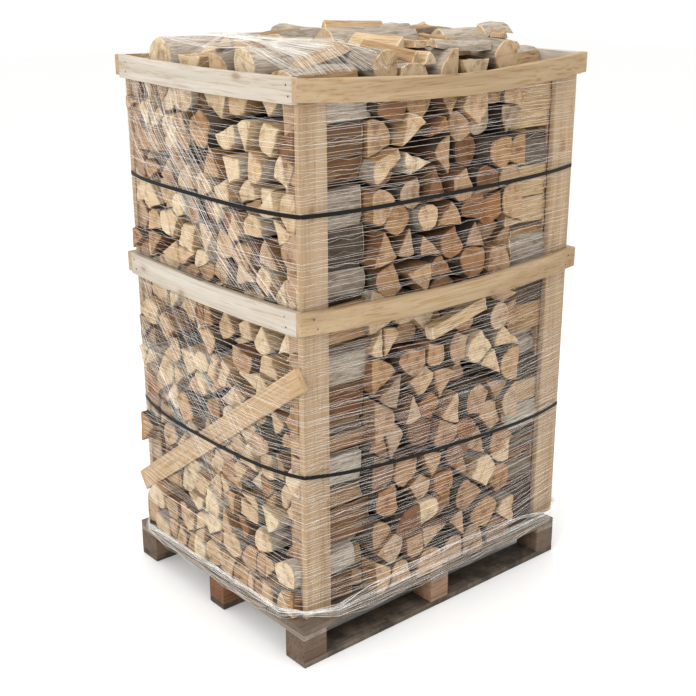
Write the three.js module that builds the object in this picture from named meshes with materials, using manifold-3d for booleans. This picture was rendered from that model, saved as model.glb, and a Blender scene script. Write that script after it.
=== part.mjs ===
// Crate of split firewood: a block pallet, a board crate, stacked logs, net wrap and two straps.
// Millimetres, +Z up. The broad face with log ends looks along -Y, the narrow one along -X.
import * as THREE from 'three';
import Module from 'manifold-3d';

const wasm = await Module();
wasm.setup();

// Block pallet: runners and deck boards lie along X, cross boards along Y.
const PALLET_LENGTH = 1200;
const PALLET_DEPTH = 1000;
const RUNNER_THICK = 21;
const BLOCK_HEIGHT = 78;
const CROSS_THICK = 19;
const DECK_THICK = 20;
const RUNNER_ROWS = { front: [0, 100], middle: [457, 85], back: [900, 100] };
const BLOCK_COLUMNS = { left: [0, 92], middle: [560, 82], right: [1112, 88] };
const DECK_BOARDS = 5;
const DECK_BOARD_WIDTH = 140;
const BLOCK_BASE = RUNNER_THICK;
const CROSS_BASE = BLOCK_BASE + BLOCK_HEIGHT;
const DECK_BASE = CROSS_BASE + CROSS_THICK;
const DECK_TOP = DECK_BASE + DECK_THICK;

// Board crate: flat posts on the front and back, rails nailed round them.
const BOARD = 22;
const CRATE_X = [26, 1264];
const CRATE_Y = [26, 1014];
const POST_WIDTH = 102;
const POST_TOP = 1836;
const RAIL_TOPS = { top: 1852, middle: 1178 };
const RAIL_HEIGHTS = { topLong: 66, topShort: 74, middleLong: 69, middleShort: 76 };
const BOW_LONG = { top: 45, middle: 50 };
const SAG_LONG = { top: 26, middle: 9 };
const BOW_SHORT = 15;
const SAG_SHORT = 4;
const INNER_X = [CRATE_X[0] + BOARD, CRATE_X[1] - BOARD];
const INNER_Y = [CRATE_Y[0] + BOARD, CRATE_Y[1] - BOARD];

// Diagonal brace on the left side, from the front post down to the back post.
const BRACE_HIGH = { y: 40, z: 972 };
const BRACE_LOW = { y: 1012, z: 290 };
const BRACE_WIDTH = 74;

// Log stacks: logs lie along X at both sides and along Y between them.
const LOG_LENGTH = 264;
const STACK_BASE = DECK_TOP + 1;
const STACK_TOP = 1800;
const STACK_GAP = 2;
const GROOVE = 42;
const END_DEPTH = 102;
const LOG_GAP = 3.5;
const END_AREA = { left: 9100, front: 9900, right: 17500, back: 17500 };
const END_CORNERS = 5;
const KIND_SHARES = { wedge: 0.5, half: 0.74, slab: 0.88 };
const SIDE_LOG = { least: 80, spread: 50 };
const REST_GAP = 0.5;

// How far above and below a rail, a strap or the brace the log ends are pressed back.
const RAIL_BAND = { below: 80, above: 4 };
const STRAP_BAND = { below: 26, above: 14 };
const BRACE_BAND = 56;
const PRESSED = { rail: 3, strap: 5, brace: 2.5 };

// Straps lie round the load at two heights; the lower one drops towards the right.
const STRAP_WIDTH = 13;
const STRAP_THICK = 1.2;
const STRAP_BULGE = { long: 44, short: 40 };
const STRAP_SLACK = { upper: 3, lower: 14 };
const STRAP_CORNERS = {
  upper: { frontLeft: 1460, frontRight: 1470, backRight: 1466, backLeft: 1458 },
  lower: { frontLeft: 641, frontRight: 582, backRight: 606, backLeft: 636 },
};

// Net wrap: a bunched hem at the deck, gathered strands round the load and down the corners.
const HEM = { frontLeft: 196, frontRight: 172, backRight: 160, backLeft: 156 };
const HEM_THICK = 11;
const STRAND_LEVELS = [430, 850, 1290, 1660];
const STRAND_THICK = 3.5;
const STRAND_TOP = 1776;

const finish = (color, roughness) => new THREE.MeshStandardMaterial({ color, roughness, metalness: 0 });
const load = new THREE.Group();
load.name = 'firewood_load';

function addMesh(name, geometry, color, roughness = 0.85) {
  const mesh = new THREE.Mesh(geometry, finish(color, roughness));
  mesh.name = name;
  load.add(mesh);
  return mesh;
}

function addBox(name, x, y, z, color) {
  const box = new THREE.BoxGeometry(x[1] - x[0], y[1] - y[0], z[1] - z[0]);
  const mesh = addMesh(name, box, color);
  mesh.position.set((x[0] + x[1]) / 2, (y[0] + y[1]) / 2, (z[0] + z[1]) / 2);
}

// A seeded run of numbers between 0 and 1.
function makeRandom(seed) {
  let state = seed;
  return () => {
    state = (state * 48271) % 2147483647;
    return state / 2147483647;
  };
}

function solidOf(geometry) {
  const bare = geometry.index ? geometry.toNonIndexed() : geometry;
  const place = bare.attributes.position;
  const found = new Map();
  const points = [];
  const triangles = [];
  for (let i = 0; i < place.count; i += 1) {
    const point = [place.getX(i), place.getY(i), place.getZ(i)];
    const key = point.map((value) => Math.round(value * 1e4)).join();
    if (!found.has(key)) {
      found.set(key, points.length / 3);
      points.push(...point);
    }
    triangles.push(found.get(key));
  }
  const mesh = new wasm.Mesh({
    numProp: 3,
    vertProperties: new Float32Array(points),
    triVerts: new Uint32Array(triangles),
  });
  return new wasm.Manifold(mesh);
}

function geometryOf(solid) {
  const mesh = solid.getMesh();
  const geometry = new THREE.BufferGeometry();
  geometry.setAttribute('position', new THREE.BufferAttribute(new Float32Array(mesh.vertProperties), 3));
  geometry.setIndex(Array.from(mesh.triVerts));
  return geometry;
}

function boxSolid(x, y, z) {
  const box = new THREE.BoxGeometry(x[1] - x[0], y[1] - y[0], z[1] - z[0]);
  box.translate((x[0] + x[1]) / 2, (y[0] + y[1]) / 2, (z[0] + z[1]) / 2);
  return solidOf(box);
}

// How far a bowed board stands out between its two ends.
const arch = (value, range) => {
  const share = (value - range[0]) / (range[1] - range[0]);
  return Math.max(0, 4 * share * (1 - share));
};

// How far packed logs swell out between two corners: soon full, and level along the middle.
const swell = (value, range) => {
  const share = (value - range[0]) / (range[1] - range[0]);
  return Math.max(0, 1 - (2 * share - 1) ** 4);
};
const TIERS = [[DECK_TOP - 60, RAIL_TOPS.middle - 60], [RAIL_TOPS.middle - 30, RAIL_TOPS.top - 50]];
const tierSwell = (level) => Math.max(...TIERS.map((tier) => arch(level, tier)));

// Convex outlines

function keepSide(outline, nx, ny, limit, label) {
  const kept = [];
  outline.forEach((from, index) => {
    const to = outline[(index + 1) % outline.length];
    const a = nx * from.x + ny * from.y - limit;
    const b = nx * to.x + ny * to.y - limit;
    if (a <= 0) {
      kept.push(from);
    }
    if ((a < 0 && b > 0) || (a > 0 && b < 0)) {
      const share = a / (a - b);
      const cut = { x: from.x + share * (to.x - from.x), y: from.y + share * (to.y - from.y) };
      kept.push({ ...cut, edge: a < 0 ? label : from.edge });
    }
  });
  return kept;
}

function areaOf(outline) {
  let sum = 0;
  outline.forEach((from, index) => {
    const to = outline[(index + 1) % outline.length];
    sum += from.x * to.y - to.x * from.y;
  });
  return sum / 2;
}

function middleOf(outline) {
  let x = 0;
  let y = 0;
  let sum = 0;
  outline.forEach((from, index) => {
    const to = outline[(index + 1) % outline.length];
    const cross = from.x * to.y - to.x * from.y;
    x += (from.x + to.x) * cross;
    y += (from.y + to.y) * cross;
    sum += cross;
  });
  return { x: x / (3 * sum), y: y / (3 * sum) };
}

// The room each log of a stack has on its face, as neighbouring convex outlines.
function roomsOf(seeds, width, height) {
  return seeds.map((own, index) => {
    let room = [
      { x: 0, y: 0, edge: -1 },
      { x: width, y: 0, edge: -2 },
      { x: width, y: height, edge: -3 },
      { x: 0, y: height, edge: -4 },
    ];
    seeds.forEach((other, label) => {
      if (label !== index) {
        const limit = other.x ** 2 + other.y ** 2 - own.x ** 2 - own.y ** 2 + own.weight - other.weight;
        room = keepSide(room, 2 * (other.x - own.x), 2 * (other.y - own.y), limit, label);
      }
    });
    return room;
  });
}

function stackRooms(width, height, area, random) {
  const pitch = Math.sqrt(area / 0.87);
  const rows = Math.round(height / (pitch * 0.87));
  const columns = Math.round(width / pitch);
  let seeds = [];
  for (let row = 0; row < rows; row += 1) {
    for (let column = 0; column < columns; column += 1) {
      const shift = row % 2 ? 0.72 : 0.28;
      const x = ((column + shift + (random() - 0.5) * 0.62) * width) / columns;
      const y = ((row + 0.5 + (random() - 0.5) * 0.7) * height) / rows;
      seeds.push({ x, y, weight: random() * 0.16 * area });
    }
  }
  seeds = roomsOf(seeds, width, height).map((room, index) => ({ ...seeds[index], ...middleOf(room) }));
  return joinShortEdges(roomsOf(seeds, width, height));
}

// Corners closer than the shortest edge become one, so that neighbours keep the same corners.
function joinShortEdges(rooms, shortest = 15) {
  const corners = new Map();
  const named = rooms.map((room, index) =>
    room.map((point, place) => {
      const before = room[(place + room.length - 1) % room.length].edge;
      const ends = [index, before, point.edge].sort((a, b) => a - b);
      const name = ends.join();
      if (!corners.has(name)) {
        corners.set(name, { x: point.x, y: point.y, rank: ends.filter((end) => end < 0).length, same: null });
      }
      return corners.get(name);
    }),
  );
  const rootOf = (corner) => (corner.same ? rootOf(corner.same) : corner);
  named.forEach((room) => {
    room.forEach((corner, place) => {
      const a = rootOf(corner);
      const b = rootOf(room[(place + 1) % room.length]);
      if (a !== b && Math.hypot(a.x - b.x, a.y - b.y) < shortest) {
        const [keep, drop] = a.rank >= b.rank ? [a, b] : [b, a];
        drop.same = keep;
      }
    });
  });
  return named.map((room) => {
    const joined = room.map(rootOf);
    return joined.filter((corner, place) => corner !== joined[(place + joined.length - 1) % joined.length]);
  });
}

// Stacked log sides: one long room above the other.
function rowRooms(width, height, random) {
  const lines = [0];
  while (lines[lines.length - 1] < height - SIDE_LOG.least - SIDE_LOG.spread) {
    lines.push(lines[lines.length - 1] + SIDE_LOG.least + random() * SIDE_LOG.spread);
  }
  lines.push(height);
  const ends = lines.map((y) => [{ x: 0, y }, { x: width, y }]);
  return ends.slice(1).map((upper, row) => [ends[row][0], ends[row][1], upper[1], upper[0]]);
}

// The sawn end of one split log: a wedge, a half, a slab or a small round inside its room.
function logEnd(room, random) {
  let end = room.map((point) => ({ x: point.x, y: point.y }));
  room.forEach((from, index) => {
    const to = room[(index + 1) % room.length];
    const run = Math.hypot(to.x - from.x, to.y - from.y);
    const nx = (to.y - from.y) / run;
    const ny = (from.x - to.x) / run;
    end = keepSide(end, nx, ny, nx * from.x + ny * from.y - LOG_GAP - random() * 3);
  });
  const kind = random();
  const phase = random() * Math.PI;
  const trim = 0.8 + random() * 0.13;
  const middle = middleOf(end);
  let heart = middle;
  if (kind < KIND_SHARES.wedge) {
    heart = end.reduce((best, point) =>
      Math.hypot(point.x - middle.x, point.y - middle.y) > Math.hypot(best.x - middle.x, best.y - middle.y)
        ? point
        : best,
    );
  } else if (kind < KIND_SHARES.half) {
    const sides = end.map((from, index) => {
      const to = end[(index + 1) % end.length];
      return { x: (from.x + to.x) / 2, y: (from.y + to.y) / 2, run: Math.hypot(to.x - from.x, to.y - from.y) };
    });
    heart = sides.reduce((best, side) => (side.run > best.run ? side : best));
  }
  if (kind < KIND_SHARES.half || kind > KIND_SHARES.slab) {
    const reach = Math.max(...end.map((point) => Math.hypot(point.x - heart.x, point.y - heart.y)));
    const radius = reach * (kind > KIND_SHARES.slab ? trim * 0.9 : trim);
    for (let turn = 0; turn < 10; turn += 1) {
      const angle = phase + (turn * Math.PI) / 5;
      const nx = Math.cos(angle);
      const ny = Math.sin(angle);
      end = keepSide(end, nx, ny, nx * heart.x + ny * heart.y + radius * 0.97);
    }
  }
  return dropSmallCorners(end, END_CORNERS);
}

function dropSmallCorners(outline, most) {
  let kept = outline;
  for (;;) {
    const sizes = kept.map((point, index) => {
      const before = kept[(index + kept.length - 1) % kept.length];
      const after = kept[(index + 1) % kept.length];
      return areaOf([before, point, after]);
    });
    const least = sizes.indexOf(Math.min(...sizes));
    if (kept.length <= 3 || (kept.length <= most && sizes[least] > 0.035 * areaOf(kept))) {
      return kept;
    }
    kept = kept.filter((point, index) => index !== least);
  }
}

// A block of logs seen on one face: every end stands out of the dark grooves between the logs.
function reliefBlock(place, rooms, ends, size, depth) {
  const points = [];
  const triangles = [];
  const found = new Map();
  const add = (u, v, w) => points.push(place(u, v, w)) - 1;
  const corner = (point) => {
    if (!found.has(point)) {
      found.set(point, add(point.x, point.y, -GROOVE));
    }
    return found.get(point);
  };
  rooms.forEach((room, index) => {
    const { outline, height } = ends[index];
    const heart = middleOf(outline);
    const angleOf = (point) => Math.atan2(point.y - heart.y, point.x - heart.x);
    const sorted = (loop) => [...loop].sort((a, b) => angleOf(a) - angleOf(b));
    const outer = sorted(room);
    const inner = sorted(outline);
    const low = outer.map(corner);
    const high = inner.map((point) => add(point.x, point.y, height));
    for (let turn = 1; turn + 1 < high.length; turn += 1) {
      triangles.push(high[0], high[turn], high[turn + 1]);
    }
    let i = 0;
    let j = 0;
    const ahead = (loop, step) => angleOf(loop[step % loop.length]) + (step >= loop.length ? 2 * Math.PI : 0);
    while (i < low.length || j < high.length) {
      const outerNext = i < low.length ? ahead(outer, i + 1) : Infinity;
      const innerNext = j < high.length ? ahead(inner, j + 1) : Infinity;
      if (outerNext < innerNext) {
        triangles.push(low[i % low.length], low[(i + 1) % low.length], high[j % high.length]);
        i += 1;
      } else {
        triangles.push(high[(j + 1) % high.length], high[j % high.length], low[i % low.length]);
        j += 1;
      }
    }
  });
  const [width, height] = size;
  const around = [...found.keys()];
  const near = (a, b) => Math.abs(a - b) < 1e-6;
  const sides = [
    around.filter((p) => near(p.y, 0)).sort((a, b) => a.x - b.x),
    around.filter((p) => near(p.x, width)).sort((a, b) => a.y - b.y),
    around.filter((p) => near(p.y, height)).sort((a, b) => b.x - a.x),
    around.filter((p) => near(p.x, 0)).sort((a, b) => b.y - a.y),
  ];
  const back = [[0, 0], [width, 0], [width, height], [0, height]].map(([u, v]) => add(u, v, -depth));
  sides.forEach((side, turn) => {
    const line = side.map(corner);
    for (let step = 0; step + 1 < line.length; step += 1) {
      triangles.push(line[step + 1], line[step], back[turn]);
    }
    triangles.push(back[(turn + 1) % 4], line[line.length - 1], back[turn]);
  });
  triangles.push(back[0], back[3], back[2], back[0], back[2], back[1]);
  const geometry = new THREE.BufferGeometry();
  geometry.setAttribute('position', new THREE.Float32BufferAttribute(points.flat(), 3));
  geometry.setIndex(triangles);
  return solidOf(geometry);
}

// Height of a strap at one place along a side that runs between two corners.
const strapLevel = (strap, side, share) => {
  const corners = STRAP_CORNERS[strap];
  const [from, to] = {
    front: [corners.frontLeft, corners.frontRight],
    right: [corners.frontRight, corners.backRight],
    back: [corners.backRight, corners.backLeft],
    left: [corners.backLeft, corners.frontLeft],
  }[side];
  return from + (to - from) * share - STRAP_SLACK[strap] * arch(share, [0, 1]);
};

// Ends pressed back where a rail, a strap or the brace lies over them.
function endHeights(side, outlines, toSpan, bulge, random) {
  const long = side === 'front' || side === 'back';
  const range = long ? INNER_X : INNER_Y;
  return outlines.map((outline) => {
    const spans = outline.map((point) => toSpan(point.x));
    const levels = outline.map((point) => point.y + STACK_BASE);
    const [low, high] = [Math.min(...levels), Math.max(...levels)];
    const [from, to] = [Math.min(...spans), Math.max(...spans)];
    const bowed = Math.min(arch(from, range), arch(to, range));
    const swollen = Math.min(swell(from, range), swell(to, range));
    const tier = tierSwell((low + high) / 2);
    let height = swollen * (bulge.side + bulge.tier * tier) - random() * bulge.loose;
    ['top', 'middle'].forEach((level) => {
      const sag = long ? SAG_LONG[level] : SAG_SHORT;
      const bow = long ? BOW_LONG[level] : BOW_SHORT;
      if (high > RAIL_TOPS[level] - RAIL_BAND.below - sag && low < RAIL_TOPS[level] + RAIL_BAND.above) {
        height = Math.min(height, bow * bowed - PRESSED.rail - random() * 8);
      }
    });
    ['upper', 'lower'].forEach((strap) => {
      const turned = side === 'left' || side === 'back';
      const shares = [from, to].map((span) => (span - range[0]) / (range[1] - range[0]));
      const heights = shares.map((share) => strapLevel(strap, side, turned ? 1 - share : share));
      if (high > Math.min(...heights) - STRAP_BAND.below && low < Math.max(...heights) + STRAP_BAND.above) {
        height = Math.min(height, STRAP_BULGE[long ? 'long' : 'short'] * swollen - PRESSED.strap);
      }
    });
    if (side === 'left') {
      const slope = (BRACE_HIGH.z - BRACE_LOW.z) / (BRACE_HIGH.y - BRACE_LOW.y);
      const line = spans.map((y) => BRACE_HIGH.z + slope * (y - BRACE_HIGH.y));
      if (high > Math.min(...line) - BRACE_BAND && low < Math.max(...line) + BRACE_BAND) {
        height = Math.min(height, -PRESSED.brace);
      }
    }
    return { outline, height: Math.max(height, 6 - GROOVE) };
  });
}

function endBlock(side, span, place, area, toSpan, bulge, depth, seed) {
  const random = makeRandom(seed);
  const size = [span[1] - span[0], STACK_TOP - STACK_BASE];
  const rooms = stackRooms(size[0], size[1], area, random);
  const outlines = rooms.map((room) => logEnd(room, random));
  const ends = endHeights(side, outlines, toSpan, bulge, random);
  return reliefBlock(place, rooms, ends, size, depth);
}

function sideBlock(width, place, seed) {
  const random = makeRandom(seed);
  const size = [width, STACK_TOP - STACK_BASE];
  const rooms = rowRooms(size[0], size[1], random);
  const ends = rooms.map((room) => {
    const [low, high] = [room[0].y + 4 + random() * 8, room[2].y - 4 - random() * 8];
    const outline = [
      { x: 1.5, y: low },
      { x: width - 1.5, y: low + random() * 8 },
      { x: width - 1.5, y: high },
      { x: 1.5, y: high - random() * 8 },
    ];
    return { outline, height: -2 - random() * 22 };
  });
  return reliefBlock(place, rooms, ends, size, GROOVE + 20);
}

// Pallet

for (const [row, [start, width]] of Object.entries(RUNNER_ROWS)) {
  addBox(`pallet_runner_${row}`, [0, PALLET_LENGTH], [start, start + width], [0, RUNNER_THICK], 0x6f6052);
  for (const [column, [left, length]] of Object.entries(BLOCK_COLUMNS)) {
    const color = { left: 0x8a6a4c, middle: 0x9c6f52, right: 0x7d6a58 }[column];
    const name = `pallet_block_${row}_${column}`;
    addBox(name, [left, left + length], [start, start + width], [BLOCK_BASE, CROSS_BASE], color);
  }
}
for (const [column, [left, length]] of Object.entries(BLOCK_COLUMNS)) {
  const name = `pallet_cross_board_${column}`;
  addBox(name, [left, left + length], [0, PALLET_DEPTH], [CROSS_BASE, DECK_BASE], 0x8f7d69);
}
const deckPitch = (PALLET_DEPTH - DECK_BOARD_WIDTH) / (DECK_BOARDS - 1);
for (let board = 0; board < DECK_BOARDS; board += 1) {
  const start = board * deckPitch;
  const name = `pallet_deck_board_${board + 1}`;
  addBox(name, [0, PALLET_LENGTH], [start, start + DECK_BOARD_WIDTH], [DECK_BASE, DECK_TOP], 0x97836b);
}

// Posts

const postX = {
  left: [INNER_X[0], INNER_X[0] + POST_WIDTH],
  right: [INNER_X[1] - POST_WIDTH, INNER_X[1]],
};
const postY = {
  front: [INNER_Y[0], INNER_Y[0] + BOARD],
  back: [INNER_Y[1] - BOARD, INNER_Y[1]],
};
for (const [face, y] of Object.entries(postY)) {
  for (const [end, x] of Object.entries(postX)) {
    addBox(`post_${face}_${end}`, x, y, [DECK_TOP, POST_TOP], 0xd3b384);
  }
}

// Rails, bowed outwards by the logs and sagging a little between the posts

function addRail(name, run, edge, outward, along, bow, sag, height, top, color) {
  const steps = along === 'x' ? 8 : 4;
  const spread = [];
  for (let step = 0; step <= steps; step += 1) {
    const s = run[0] + ((run[1] - run[0]) * step) / steps;
    spread.push([s, edge + outward * bow * arch(s, run)]);
  }
  const inner = spread.map(([s, t]) => (along === 'x' ? new THREE.Vector2(s, t) : new THREE.Vector2(t, s)));
  const outer = spread.map(([s, t]) => {
    const face = t + outward * BOARD;
    return along === 'x' ? new THREE.Vector2(s, face) : new THREE.Vector2(face, s);
  });
  const plan = new THREE.Shape([...inner, ...outer.reverse()]);
  const rail = new THREE.ExtrudeGeometry(plan, { depth: height, bevelEnabled: false });
  const place = rail.attributes.position;
  for (let i = 0; i < place.count; i += 1) {
    const s = along === 'x' ? place.getX(i) : place.getY(i);
    place.setZ(i, place.getZ(i) + top - height - sag * arch(s, run));
  }
  addMesh(name, rail, color);
}

for (const level of ['top', 'middle']) {
  const top = RAIL_TOPS[level];
  const long = RAIL_HEIGHTS[`${level}Long`];
  const short = RAIL_HEIGHTS[`${level}Short`];
  const bow = BOW_LONG[level];
  const sag = SAG_LONG[level];
  addRail(`rail_${level}_front`, CRATE_X, INNER_Y[0], -1, 'x', bow, sag, long, top, 0xdcc191);
  addRail(`rail_${level}_back`, CRATE_X, INNER_Y[1], 1, 'x', bow * 0.5, sag * 0.5, long, top, 0xd9bf92);
  addRail(`rail_${level}_left`, INNER_Y, INNER_X[0], -1, 'y', BOW_SHORT, SAG_SHORT, short, top, 0xdccbad);
  addRail(`rail_${level}_right`, INNER_Y, INNER_X[1], 1, 'y', BOW_SHORT, SAG_SHORT, short, top, 0xd9c7a6);
}

// Brace

{
  const run = Math.hypot(BRACE_LOW.y - BRACE_HIGH.y, BRACE_LOW.z - BRACE_HIGH.z);
  const brace = addMesh('brace_left', new THREE.BoxGeometry(BOARD - 0.6, run, BRACE_WIDTH), 0xc99d66);
  const middleY = (BRACE_HIGH.y + BRACE_LOW.y) / 2;
  brace.position.set(INNER_X[0] - BOARD / 2, middleY, (BRACE_HIGH.z + BRACE_LOW.z) / 2);
  brace.rotation.x = Math.atan2(BRACE_LOW.z - BRACE_HIGH.z, BRACE_LOW.y - BRACE_HIGH.y);
}

// Stacks at both sides, logs along X

const stackY = [INNER_Y[0] + BOARD + STACK_GAP, INNER_Y[1] - BOARD - STACK_GAP];
const sideEdge = GROOVE + 2;
const sideBulge = { side: 24, tier: 36, loose: 34 };
function addSideStack(side, seed) {
  const left = side === 'left';
  const face = left ? INNER_X[0] : INNER_X[1];
  const inward = left ? 1 : -1;
  const deep = face + inward * END_DEPTH;
  const end = face + inward * LOG_LENGTH;
  const x = [Math.min(deep, end), Math.max(deep, end)];
  const width = x[1] - x[0];
  const endPlace = left
    ? (u, v, w) => [face - w, stackY[1] - u, STACK_BASE + v]
    : (u, v, w) => [face + w, stackY[0] + u, STACK_BASE + v];
  const toSpan = left ? (u) => stackY[1] - u : (u) => stackY[0] + u;
  const ends = endBlock(side, stackY, endPlace, END_AREA[side], toSpan, sideBulge, END_DEPTH + 1, seed);
  const front = sideBlock(width, (u, v, w) => [x[0] + u, stackY[0] - w, STACK_BASE + v], seed + 1);
  const back = sideBlock(width, (u, v, w) => [x[1] - u, stackY[1] + w, STACK_BASE + v], seed + 2);
  const body = boxSolid(x, [stackY[0] + sideEdge, stackY[1] - sideEdge], [STACK_BASE, STACK_TOP]);
  addMesh(`log_stack_${side}`, geometryOf(ends.add(body).add(front).add(back)), 0xcfa873);
}
addSideStack('left', 4177);
addSideStack('right', 9203);

// Stacks between them, logs along Y

const stackX = [INNER_X[0] + LOG_LENGTH + STACK_GAP, INNER_X[1] - LOG_LENGTH - STACK_GAP];
const centreY = (INNER_Y[0] + INNER_Y[1]) / 2;
const stackDepth = centreY - INNER_Y[0] - STACK_GAP / 2;
const frontPlace = (u, v, w) => [stackX[0] + u, INNER_Y[0] - w, STACK_BASE + v];
const backPlace = (u, v, w) => [stackX[1] - u, INNER_Y[1] + w, STACK_BASE + v];
const frontBulge = { side: 34, tier: 12, loose: 36 };
const backBulge = { side: 18, tier: 6, loose: 26 };
const frontSpan = (u) => stackX[0] + u;
const backSpan = (u) => stackX[1] - u;
const stackFront = endBlock('front', stackX, frontPlace, END_AREA.front, frontSpan, frontBulge, stackDepth, 2711);
const stackBack = endBlock('back', stackX, backPlace, END_AREA.back, backSpan, backBulge, stackDepth, 6653);
addMesh('log_stack_front', geometryOf(stackFront), 0xd0aa76);
addMesh('log_stack_back', geometryOf(stackBack), 0xcda670);

// Loose logs heaped on top: place, turn, length, half width, form and which way up

function logShape(form, radius) {
  const arcs = { round: [0, 2], half: [0, 1], quarter: [0.25, 0.75] };
  const [from, to] = arcs[form];
  const steps = form === 'round' ? 8 : 4;
  const outline = [];
  if (form === 'quarter') {
    outline.push(new THREE.Vector2(0, 0));
  }
  for (let step = 0; step < steps + (form === 'round' ? 0 : 1); step += 1) {
    const angle = Math.PI * (from + ((to - from) * step) / steps);
    const uneven = 1 + 0.07 * Math.sin(2.3 * step + radius);
    outline.push(new THREE.Vector2(radius * uneven * Math.cos(angle), radius * uneven * Math.sin(angle)));
  }
  return new THREE.Shape(outline);
}

const LOOSE_LOGS = [
  [398, 214, 91, 270, 52, 'round', 0],
  [526, 216, 86, 282, 62, 'half', 0],
  [664, 226, 95, 276, 88, 'quarter', -45],
  [788, 214, 88, 270, 56, 'half', 180],
  [915, 222, 93, 284, 52, 'round', 0],
  [188, 160, 4, 262, 64, 'half', 0],
  [196, 306, -7, 270, 56, 'round', 0],
  [184, 448, 6, 266, 92, 'quarter', 45],
  [188, 604, -4, 264, 66, 'half', 180],
  [186, 786, 5, 268, 60, 'round', 0],
  [640, 448, -6, 340, 72, 'round', 0],
  [1113, 246, 12, 230, 64, 'half', 0],
  [1090, 428, -8, 262, 60, 'round', 0],
  [1104, 640, 5, 250, 88, 'quarter', -45],
  [488, 624, 22, 280, 62, 'round', 0],
  [822, 622, -16, 250, 70, 'half', 0],
  [690, 862, 82, 240, 62, 'round', 0],
  [850, 850, 98, 250, 58, 'half', 0],
];
LOOSE_LOGS.forEach(([x, y, turn, length, radius, form, roll], index) => {
  const log = new THREE.ExtrudeGeometry(logShape(form, radius), { depth: length, bevelEnabled: false });
  log.rotateZ(THREE.MathUtils.degToRad(roll));
  log.center();
  log.rotateX(Math.PI / 2);
  log.rotateZ(THREE.MathUtils.degToRad(turn + 90));
  log.computeBoundingBox();
  log.translate(x, y, STACK_TOP + REST_GAP - log.boundingBox.min.z);
  addMesh(`loose_log_${String(index + 1).padStart(2, '0')}`, log, index % 3 ? 0xcda571 : 0x8d8172);
});

// A closed band or strand round the load, given by its path and its section

function ringSolid(path, half, thick) {
  const points = [];
  const triangles = [];
  path.forEach(({ x, y, z, nx, ny }) => {
    points.push([x, y, z - half], [x + nx * thick, y + ny * thick, z - half]);
    points.push([x + nx * thick, y + ny * thick, z + half], [x, y, z + half]);
  });
  path.forEach((point, index) => {
    const here = index * 4;
    const next = ((index + 1) % path.length) * 4;
    for (let side = 0; side < 4; side += 1) {
      const other = (side + 1) % 4;
      triangles.push(here + side, next + side, next + other, here + side, next + other, here + other);
    }
  });
  const geometry = new THREE.BufferGeometry();
  geometry.setAttribute('position', new THREE.Float32BufferAttribute(points.flat(), 3));
  geometry.setIndex(triangles);
  return geometry;
}

// Path round a rectangle whose sides stand out like bows, anticlockwise from the near left corner.
function roundPath(x, y, bows, levelOf, steps) {
  const sides = [
    ['front', (k) => [x[0] + (x[1] - x[0]) * k, y[0]], [0, -1]],
    ['right', (k) => [x[1], y[0] + (y[1] - y[0]) * k], [1, 0]],
    ['back', (k) => [x[1] - (x[1] - x[0]) * k, y[1]], [0, 1]],
    ['left', (k) => [x[0], y[1] - (y[1] - y[0]) * k], [-1, 0]],
  ];
  const path = [];
  sides.forEach(([side, at, out], index) => {
    const before = sides[(index + 3) % 4][2];
    for (let step = 0; step < steps; step += 1) {
      const k = step / steps;
      const [px, py] = at(k);
      const rise = bows[side] * swell(k, [0, 1]);
      const normal = step ? out : [out[0] + before[0], out[1] + before[1]];
      const point = { x: px + out[0] * rise, y: py + out[1] * rise, z: levelOf(side, k) };
      path.push({ ...point, nx: normal[0], ny: normal[1] });
    }
  });
  return path;
}

// Straps, tight round posts and log ends

const strapBows = {
  front: STRAP_BULGE.long,
  right: STRAP_BULGE.short,
  back: STRAP_BULGE.long,
  left: STRAP_BULGE.short,
};
for (const strap of ['upper', 'lower']) {
  const x = [INNER_X[0] - 0.6, INNER_X[1] + 0.6];
  const y = [INNER_Y[0] - 0.6, INNER_Y[1] + 0.6];
  const path = roundPath(x, y, strapBows, (side, k) => strapLevel(strap, side, k), 6);
  addMesh(`strap_${strap}`, ringSolid(path, STRAP_WIDTH / 2, STRAP_THICK), 0x1b1b1d, 0.45);
}

// Net wrap, gathered into strands outside the rails

const netX = [CRATE_X[0] - 1, CRATE_X[1] + 1];
const netY = [CRATE_Y[0] - 1, CRATE_Y[1] + 1];
const netBows = { front: 32, right: 42, back: 12, left: 42 };
const hemBows = { front: 30, right: 18, back: 14, left: 26 };
const strand = STRAND_THICK / 2;
const hemLevel = (side, k) => {
  const [from, to] = {
    front: [HEM.frontLeft, HEM.frontRight],
    right: [HEM.frontRight, HEM.backRight],
    back: [HEM.backRight, HEM.backLeft],
    left: [HEM.backLeft, HEM.frontLeft],
  }[side];
  return from + (to - from) * k;
};
let net = solidOf(ringSolid(roundPath(netX, netY, hemBows, hemLevel, 5), HEM_THICK / 2, HEM_THICK));
for (const level of STRAND_LEVELS) {
  const path = roundPath(netX, netY, netBows, () => level, 5);
  net = net.add(solidOf(ringSolid(path, strand, STRAND_THICK)));
}
for (const [x, sideX] of [[netX[0], -1], [netX[1], 1]]) {
  for (const [y, sideY] of [[netY[0], -1], [netY[1], 1]]) {
    const spanX = sideX < 0 ? [x - STRAND_THICK - 0.3, x - 0.3] : [x + 0.3, x + STRAND_THICK + 0.3];
    const spanY = sideY < 0 ? [y - STRAND_THICK - 0.3, y - 0.3] : [y + 0.3, y + STRAND_THICK + 0.3];
    net = net.add(boxSolid(spanX, spanY, [HEM.backLeft + 2, STRAND_TOP]));
  }
}
addMesh('net_wrap', geometryOf(net), 0xe9e7e2, 0.5);

// The load stands on the middle of its footprint.
load.updateMatrixWorld(true);
const bounds = new THREE.Box3().setFromObject(load, true);
load.position.set(-(bounds.min.x + bounds.max.x) / 2, -(bounds.min.y + bounds.max.y) / 2, -bounds.min.z);

export default load;
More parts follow.
